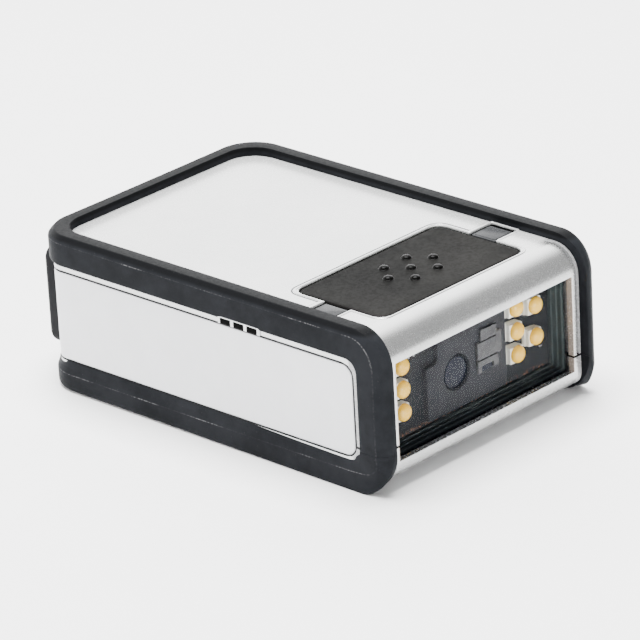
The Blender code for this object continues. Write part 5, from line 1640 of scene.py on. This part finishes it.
@dataclass
class LampBoard:
    """Dark board with eight domed lamps and its small surface parts."""

    face_y: float = -33.8
    columns: tuple[tuple[float, tuple[float, ...]], ...] = (
        (-16.25, (10.553, 14.533, 18.513)), (11.55, (10.75, 14.83, 18.91)),
        (16.25, (12.25, 17.80)))
    body: tuple[float, float, float] = (3.5, 3.1, 1.5)
    corner_cut: float = 0.75
    dome_radius: float = 1.50
    dome_height: float = 1.2
    drum: float = 0.16
    chips: tuple[tuple[float, float, float, float], ...] = (
        (18.9, 9.8, 0.6, 0.9), (-12.4, 18.6, 1.0, 0.6))

    def lamp_body(self) -> Array:
        """Square lamp body in two layers, with a shallow dish and one corner cut off.

        The cut pushes points back along the diagonal: where u + v passes its limit, both
        lose half of what is too much.

        Returns:
            Points as (row, point, axis).
        """
        half_u, half_v = self.body[0] / 2, self.body[1] / 2
        top = self.body[2]
        rows = [(half_u, half_v, 0.12, 0.0), (half_u, half_v, 0.12, top * 0.42),
                (half_u - 0.10, half_v - 0.10, 0.12, top * 0.48),
                (half_u - 0.10, half_v - 0.10, 0.12, top - 0.05),
                (half_u - 0.15, half_v - 0.15, 0.15, top),
                (self.dome_radius + 0.03, self.dome_radius + 0.03, 9.0, top),
                (self.dome_radius - 0.08, self.dome_radius - 0.08, 9.0, top - 0.10)]
        points = ring_stack(rows, 8)
        over = points[:5, :, 0] + points[:5, :, 1] - (half_u + half_v - self.corner_cut)
        points[:5, :, :2] -= 0.5 * np.maximum(over, 0.0)[..., None]
        return points

    def dome(self) -> Array:
        """Dome: a short drum under a flattened ball, radius r cos a and height h sin a.

        Returns:
            Points as (row, point, axis).
        """
        angle = np.linspace(0, math.pi / 2, 12)
        rows = [(self.dome_radius * 0.97, 0.0), (self.dome_radius, 0.04)]
        rows += [(self.dome_radius * math.cos(a),
                  self.drum + (self.dome_height - self.drum) * math.sin(a)) for a in angle]
        rows[-1] = (0.0, self.dome_height)
        return turned(rows, 36)

    def build_lamps(self) -> None:
        """Build the eight lamps with the two leads at each one's left side."""
        body, dome = self.lamp_body(), self.dome()
        lead_rows = slab_rows(0.5, 0.14, 0.08, 0.0, 0.32, 0.08)
        number = 0
        for x, heights in self.columns:
            for z in heights:
                number += 1
                back = self.face_y - 0.05
                points, faces = stack_part(body, Facing.FRONT, (x, back, z))
                make_piece(f"lamp_case_{number}", points, faces, Finishes.CREAM.build(),
                           crisp=30.0, replaces=(f"lamp_body_{number}",))
                points = laid(dome, Facing.FRONT, (x, back - self.body[2] + 0.04, z))
                make_piece(f"lamp_cap_{number}", points, closed_stack(dome),
                           Finishes.DOME.build(),
                           replaces=(f"lamp_dome_{number}",))
                leads = [stack_part(ring_stack(lead_rows, 3), Facing.FRONT,
                                    (x - self.body[0] / 2 - 0.5, self.face_y, z + lift))
                         for lift in (-1.33, 1.4)]
                points, faces = joined(leads)
                make_piece(f"lamp_leads_{number}", points, faces, Finishes.CREAM.build())

    def build_small_parts(self) -> None:
        """Build the small parts with their solder ends on the board."""
        bodies, ends = [], []
        for x, z, width, height in self.chips:
            rows = slab_rows(width / 2, height / 2, 0.06, 0.0, 0.35, 0.06)
            bodies.append(stack_part(ring_stack(rows, 3), Facing.FRONT, (x, self.face_y, z)))
            for side in (-1, 1):
                along = width >= height
                offset = side * (max(width, height) / 2 + 0.05)
                end_rows = slab_rows(0.18 if along else width / 2 + 0.04,
                                     height / 2 + 0.04 if along else 0.18, 0.05, 0.0, 0.3, 0.08)
                place = (x + (offset if along else 0), self.face_y, z + (0 if along else offset))
                ends.append(stack_part(ring_stack(end_rows, 3), Facing.FRONT, place))
        points, faces = joined(bodies)
        make_piece("board_parts", points, faces, Finishes.BLACK.build())
        points, faces = joined(ends)
        make_piece("solder_ends", points, faces, Finishes.STEEL.build())

    def build(self) -> None:
        """Build the lamps and the small parts; the board itself is the CAD node."""
        self.build_lamps()
        self.build_small_parts()


@dataclass
class Imager:
    """Face plate with its round hole, the lens deep in it, and the stepped aiming lens."""

    lens: tuple[float, float] = (-2.5, 12.35)
    plate: tuple[float, float, float, float] = (-9.7, 9.6, 6.0, 19.6)
    plate_step: tuple[float, float] = (2.8, 4.2)
    plate_y: tuple[float, float] = (-33.86, -34.74)
    hole_radius: float = 3.08
    barrel_radius: float = 2.8
    barrel_y: float = -34.60
    lens_radius: float = 2.55
    lens_crown: float = 0.22
    aimer_back: float = -34.86
    aimer_blocks: tuple[tuple[float, ...], ...] = (
        (4.95, 16.90, 1.95, 0.95, 0.42, 0.08), (4.35, 14.30, 2.35, 1.50, 0.50, 0.08),
        (4.45, 12.10, 2.40, 0.50, 0.50, 0.08), (2.55, 11.05, 0.45, 0.60, 0.45, 0.06),
        (6.50, 11.20, 0.65, 0.60, 0.45, 0.06), (3.55, 17.88, 0.50, 0.10, 0.55, 0.05),
        (2.35, 15.72, 0.33, 0.12, 0.60, 0.05))
    aimer_column: tuple[float, float] = (7.40, 14.6)
    aimer_hole_shade: tuple[float, float, float, float] = (4.45, 11.0, 1.42, 0.58)

    def build_plate(self) -> None:
        """Build the face plate: an outline with a stepped corner, joined to a round hole.

        The front face runs from each outline point straight towards the hole's centre, where
        it meets the hole: c + r (p - c) / |p - c|.
        """
        left, right, low, high = self.plate
        across, down = self.plate_step
        corners = np.array([[(left, low), (right, low), (right, high), (left + across, high),
                             (left + across, high - down), (left, high - down)]])
        trims = np.array([0.5, 0.5, 0.5, 0.5, 1.6, 0.5])
        outline = evened(round_corners(corners, trims, 9)[0], 240)
        back, front = -self.plate_y[0], -self.plate_y[1]
        sides = raised(outline, [(0.0, back), (0.0, front - 0.14), (0.05, front - 0.04),
                                 (0.15, front)])
        centre = np.array(self.lens)
        ray = (outline - centre) / np.linalg.norm(outline - centre, axis=1)[:, None]
        table = np.array([(self.hole_radius + 0.16, front), (self.hole_radius + 0.05, front - 0.04),
                          (self.hole_radius, front - 0.14), (self.hole_radius, back)])
        circle = centre + ray[None] * table[:, 0, None, None]
        height = np.broadcast_to(table[:, 1, None, None], circle.shape[:2] + (1,))
        points = np.concatenate([sides, np.concatenate([circle, height], -1)])
        faces = loop_faces(points)
        make_piece("face_plate", laid(points, Facing.FRONT, (0.0, 0.0, 0.0)), faces,
                   Finishes.GREY.build(), crisp=30.0,
                   replaces=("imager_bezel",))

    def build_lens(self) -> None:
        """Build the barrel's rings and the crowned lens in it."""
        x, z = self.lens
        rows = [(0.0, -1.9), (self.lens_radius + 0.1, -1.9), (self.lens_radius + 0.1, -0.20),
                (self.lens_radius + 0.14, -0.06), (self.lens_radius + 0.18, 0.0),
                (self.barrel_radius - 0.03, 0.0), (self.barrel_radius, -0.06),
                (self.barrel_radius, -3.0), (0.0, -3.0)]
        barrel = turned(rows, 56)
        faces = turned_faces(barrel)
        make_piece("lens_ring", laid(barrel, Facing.FRONT, (x, self.barrel_y, z)), faces,
                   Finishes.BARREL.build(), crisp=30.0,
                   replaces=("lens_barrel",))
        share = np.linspace(0, 1, 12)
        crown = [(self.lens_radius * float(s), -self.lens_crown * float(s) ** 2) for s in share]
        glass = turned([(0.0, -1.1), (self.lens_radius, -1.1)] + crown[::-1], 48)
        faces = turned_faces(glass)
        make_piece("front_lens", laid(glass, Facing.FRONT, (x, self.barrel_y + 0.02, z)), faces,
                   Finishes.LENS.build(), replaces=("imager_lens",))

    def build_aimer(self) -> None:
        """Build the aiming lens from its blocks, each (x, z, half x, half z, depth, edge)."""
        parts = []
        for x, z, half_x, half_z, depth, edge in self.aimer_blocks:
            rows = slab_rows(half_x, half_z, 0.08, 0.0, depth, edge, 0.03, 3)
            parts.append(stack_part(ring_stack(rows, 3), Facing.FRONT, (x, self.aimer_back, z)))
        column = ring_stack(slab_rows(0.70, 2.0, 0.6, 0.0, 0.42, 0.3, 0.03, 6), 6)
        x, z = self.aimer_column
        parts.append(stack_part(column, Facing.FRONT, (x, self.aimer_back, z)))
        merged, faces = joined(parts)
        make_piece("aiming_lens", merged, faces, Finishes.MILKY.build(), crisp=30.0,
                   replaces=("aimer_lens",))
        # Painted shade: a thin dark slab stands in for the shade in the aimer's square hole.
        x, z, half_x, half_z = self.aimer_hole_shade
        eye = ring_stack(slab_rows(half_x, half_z, 0.1, 0.0, 0.10, 0.04, 0.02, 2), 3)
        points, faces = stack_part(eye, Facing.FRONT, (x, self.aimer_back, z))
        make_piece("aiming_hole_shade", points, faces, Finishes.LENS.build())

    def build(self) -> None:
        """Build the plate, the lens and the aiming lens."""
        self.build_plate()
        self.build_lens()
        self.build_aimer()


@dataclass
class RearCap:
    """Black cap over the back with the mouth for the cable socket."""

    half_x: float = 21.6
    low: float = 5.2
    high: float = 22.5
    front: float = 35.2
    back: float = 40.5
    radius: float = 1.4
    wall: float = 1.5
    mouth: tuple[float, float, float] = (8.3, 8.604, 18.404)

    def build(self) -> None:
        """Build the cap as one closed surface of nested rounded rectangles."""
        half_v = (self.high - self.low) / 2
        middle = (self.high + self.low) / 2
        mouth_u, mouth_low, mouth_high = self.mouth
        mouth_v = (mouth_high - mouth_low) / 2
        shift = (mouth_high + mouth_low) / 2 - middle
        inner = self.back - self.wall
        rows = [(self.half_x - self.wall, half_v - self.wall, 0.6, self.front),
                (self.half_x - self.wall, half_v - self.wall, 0.6, inner),
                (mouth_u, mouth_v, 0.3, inner, 0.0, shift),
                (mouth_u, mouth_v, 0.3, self.back - 0.2, 0.0, shift),
                (mouth_u + 0.2, mouth_v + 0.2, 0.5, self.back, 0.0, shift),
                (mouth_u + 0.9, mouth_v + 0.7, 1.0, self.back, 0.0, shift)]
        edge = arc_rows(0.0, self.back, self.radius, True, 8)[::-1]
        rows += [(self.half_x - inset, half_v - inset, self.radius + 0.4, height)
                 for inset, height in edge]
        rows += [(self.half_x, half_v, self.radius + 0.4, self.front + 0.2),
                 (self.half_x - 0.2, half_v - 0.2, self.radius + 0.2, self.front)]
        points = ring_stack(rows, 8)
        faces = loop_faces(points)
        make_piece("back_cap", laid(points, Facing.BACK, (0.0, 0.0, middle)), faces,
                   Finishes.CAP.build(), crisp=35.0,
                   replaces=("rear_cap",))


@dataclass
class Fasteners:
    """Shell screws with a six-lobed socket, and the knurled inserts of the base."""

    screw_places: tuple[tuple[float, float], ...] = ((-17.5, -15.0), (17.5, -15.0),
                                                     (-17.5, 24.0), (17.5, 24.0))
    screw_z: float = 2.2
    insert_y: tuple[float, ...] = (-7.0, 15.0)
    insert_z: float = 1.8

    def build(self) -> None:
        """Build the screws and the inserts, seen from below."""
        head = [(0.0, -0.85), (0.72, -0.85), (0.78, -0.05), (0.86, 0.0), (1.45, 0.0),
                (1.78, -0.1), (1.9, -0.3), (1.9, -1.4), (1.0, -1.4), (1.0, -12.8),
                (0.8, -13.0), (0.0, -13.0)]
        swell = np.array([0.16, 0.16, 0.16, 0.08] + [0.0] * 8)
        screw = turned(head, 48, 6, swell)
        faces = turned_faces(screw)
        for number, (x, y) in enumerate(self.screw_places, 1):
            make_piece(f"base_screw_{number}", laid(screw, Facing.DOWN, (x, y, self.screw_z)),
                       faces, Finishes.STEEL.build(), crisp=30.0,
                       replaces=(f"shell_screw_{number}",))
        wave = np.linspace(-3.5, -0.25, 27)
        bore = [(1.25 + 0.07 * math.cos(float(h) * 2 * math.pi / 0.5), float(h)) for h in wave]
        ring = bore + [(1.4, -0.05), (1.6, 0.0), (2.05, 0.0), (2.2, -0.15), (2.2, -3.6),
                       (1.25, -3.6)]
        lobes = np.array([0.0] * (len(bore) + 3) + [0.02, 0.02, 0.0])
        insert = turned(ring, 72, 24, lobes)
        faces = loop_faces(insert)
        for number, y in enumerate(self.insert_y, 1):
            make_piece(f"base_insert_{number}", laid(insert, Facing.DOWN, (0.0, y, self.insert_z)),
                       faces, Finishes.BRASS.build(), crisp=30.0,
                       replaces=(f"mounting_insert_{number}",))


class InnerParts:
    """CAD nodes that keep their shape and get a finish of their own."""

    FINISHES: dict[str, Finish] = {
        "lamp_board": Finishes.BOARD,
        "imager_housing": Finishes.BLACK, "pad_carrier": Finishes.BLACK,
        "switch_plunger": Finishes.GREY, "switch_housing": Finishes.BLACK,
        "trigger_board": Finishes.INNER_BOARD, "status_lamp_left": Finishes.CREAM,
        "status_lamp_right": Finishes.CREAM, "main_board": Finishes.INNER_BOARD,
        "decoder_chip": Finishes.BLACK, "memory_chip": Finishes.BLACK,
        "beeper": Finishes.STEEL, "ribbon_connector": Finishes.CREAM,
        "imager_ribbon": Finishes.FILM, "cable_socket": Finishes.BLACK,
        "socket_contacts": Finishes.BRASS}

    def build(self) -> None:
        """Give each carried-over CAD node its material."""
        for node, finish in self.FINISHES.items():
            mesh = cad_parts[node].data
            mesh.materials.clear()
            mesh.materials.append(finish.build())


@dataclass
class Studio:
    """Pale floor, soft lights and the camera that took the photo."""

    azimuth: float = -45.9905
    elevation: float = 23.3132
    roll: float = -3.18526
    distance: float = 773.8797
    shift: tuple[float, float] = (-27.4029, 19.1069)
    focal_pixels: float = 4796.24
    image: int = 640
    frame_offset: tuple[float, float, float] = (0.0, -39.0, 0.9)
    front_tone: tuple[float, float, float, float] = (-0.28, 0.52, 0.09, 1.0)
    height_tone: tuple[float, float, float, float] = (0.36, 0.60, 1.0, 0.02)
    height_lean: float = 0.6
    strength: float = 6.4
    light_target: tuple[float, float, float] = (0.0, 0.0, 0.012)
    floor_half: float = 6000.0
    floor_z: float = -0.01

    def build_camera(self) -> None:
        """Place the camera: back along its line of sight, then moved in its own plane."""
        azimuth, elevation, roll = (math.radians(angle) for angle in
                                    (self.azimuth, self.elevation, self.roll))
        back = Vector((math.sin(azimuth) * math.cos(elevation),
                       -math.cos(azimuth) * math.cos(elevation), math.sin(elevation)))
        right = Vector((math.cos(azimuth), math.sin(azimuth), 0.0))
        up = back.cross(right)
        turned_right = right * math.cos(roll) + up * math.sin(roll)
        turned_up = back.cross(turned_right)
        place = (back * self.distance + turned_right * self.shift[0]
                 + turned_up * self.shift[1] + Vector(self.frame_offset))
        data = bpy.data.cameras.new("photo_camera")
        data.sensor_width = 36.0
        data.lens = data.sensor_width * self.focal_pixels / self.image
        data.clip_end = 100.0
        camera = bpy.data.objects.new("photo_camera", data)
        axes = Matrix((turned_right, turned_up, back)).transposed()
        camera.matrix_world = Matrix.Translation(place * MM) @ axes.to_4x4()
        bpy.context.scene.collection.objects.link(camera)
        bpy.context.scene.camera = camera

    def build_floor(self) -> None:
        """Lay the floor: one large flat sheet just under the foot of the scanner."""
        side = np.linspace(-self.floor_half, self.floor_half, 3)
        x, y = np.meshgrid(side, side, indexing="ij")
        points = np.stack([x, y, np.full(x.shape, self.floor_z)], -1).reshape(-1, 3) * MM
        mesh = bpy.data.meshes.new("studio_floor")
        mesh.from_pydata(points.tolist(), [], grid_faces(3, 3)[:, ::-1].tolist())
        floor = bpy.data.objects.new("studio_floor", mesh)
        bpy.context.scene.collection.objects.link(floor)
        finish = Finish("pale_floor", (0.90, 0.90, 0.90), (0.93, 0.93, 0.93), (0.55, 0.7),
                        0.0, 4.0, 900.0, 0.02, 0.0)
        mesh.materials.append(finish.build())

    def add_light(self, name: str, place: tuple[float, float, float], size: float,
                  power: float) -> None:
        """Add a soft square light that looks at the scanner.

        Args:
            name: Name of the light.
            place: Place in metres.
            size: Side of the square in metres.
            power: Power in watts.
        """
        data = bpy.data.lights.new(name, "AREA")
        data.size = size
        data.energy = power
        light = bpy.data.objects.new(name, data)
        light.location = place
        direction = Vector(self.light_target) - Vector(place)
        light.rotation_euler = direction.to_track_quat("-Z", "Y").to_euler()
        bpy.context.scene.collection.objects.link(light)

    def build_lights(self) -> None:
        """Light the room: a dark ceiling, low walls brighter at the back, and two soft boxes."""
        world = bpy.data.worlds.new("studio_world")
        bpy.context.scene.world = world
        world.use_nodes = True
        sheet = Sheet(world.node_tree)
        background = world.node_tree.nodes["Background"]
        x, y, z = sheet.split(sheet.add("ShaderNodeTexCoord").outputs["Generated"])
        front = sheet.span(y, *self.front_tone)
        lean = sheet.maths("MULTIPLY", sheet.maths("MAXIMUM", x, 0.0), self.height_lean)
        height = sheet.span(sheet.maths("SUBTRACT", z, lean), *self.height_tone)
        tone = sheet.maths("MULTIPLY", front, height)
        sheet.put(background.inputs["Color"],
                  sheet.mix(tone, (0.0, 0.0, 0.0), (1.0, 1.0, 1.0)))
        background.inputs["Strength"].default_value = self.strength
        self.add_light("top_box", (0.0, 0.08, 0.75), 0.5, 28.0)
        self.add_light("window_fill", (-0.196, -0.665, 0.10), 0.16, 4.5)

    def build(self) -> None:
        """Build the camera, the floor and the lights."""
        self.build_camera()
        self.build_floor()
        self.build_lights()


def main() -> None:
    """Build the studio and every sub-assembly in order, and report each."""
    logging.basicConfig(level=logging.INFO, format="%(name)s: %(message)s")
    for assembly in (Studio(), RubberBumpers(), Shells(), PartingGapShade(), VentFrame(),
                     SidePanels(), RecessRim(), TriggerPad(), StatusLights(), FrontWindow(),
                     LampBoard(), Imager(), RearCap(), Fasteners(), InnerParts()):
        assembly.build()
        LOG.info("%s built", type(assembly).__name__)


if __name__ == "__main__":
    main()
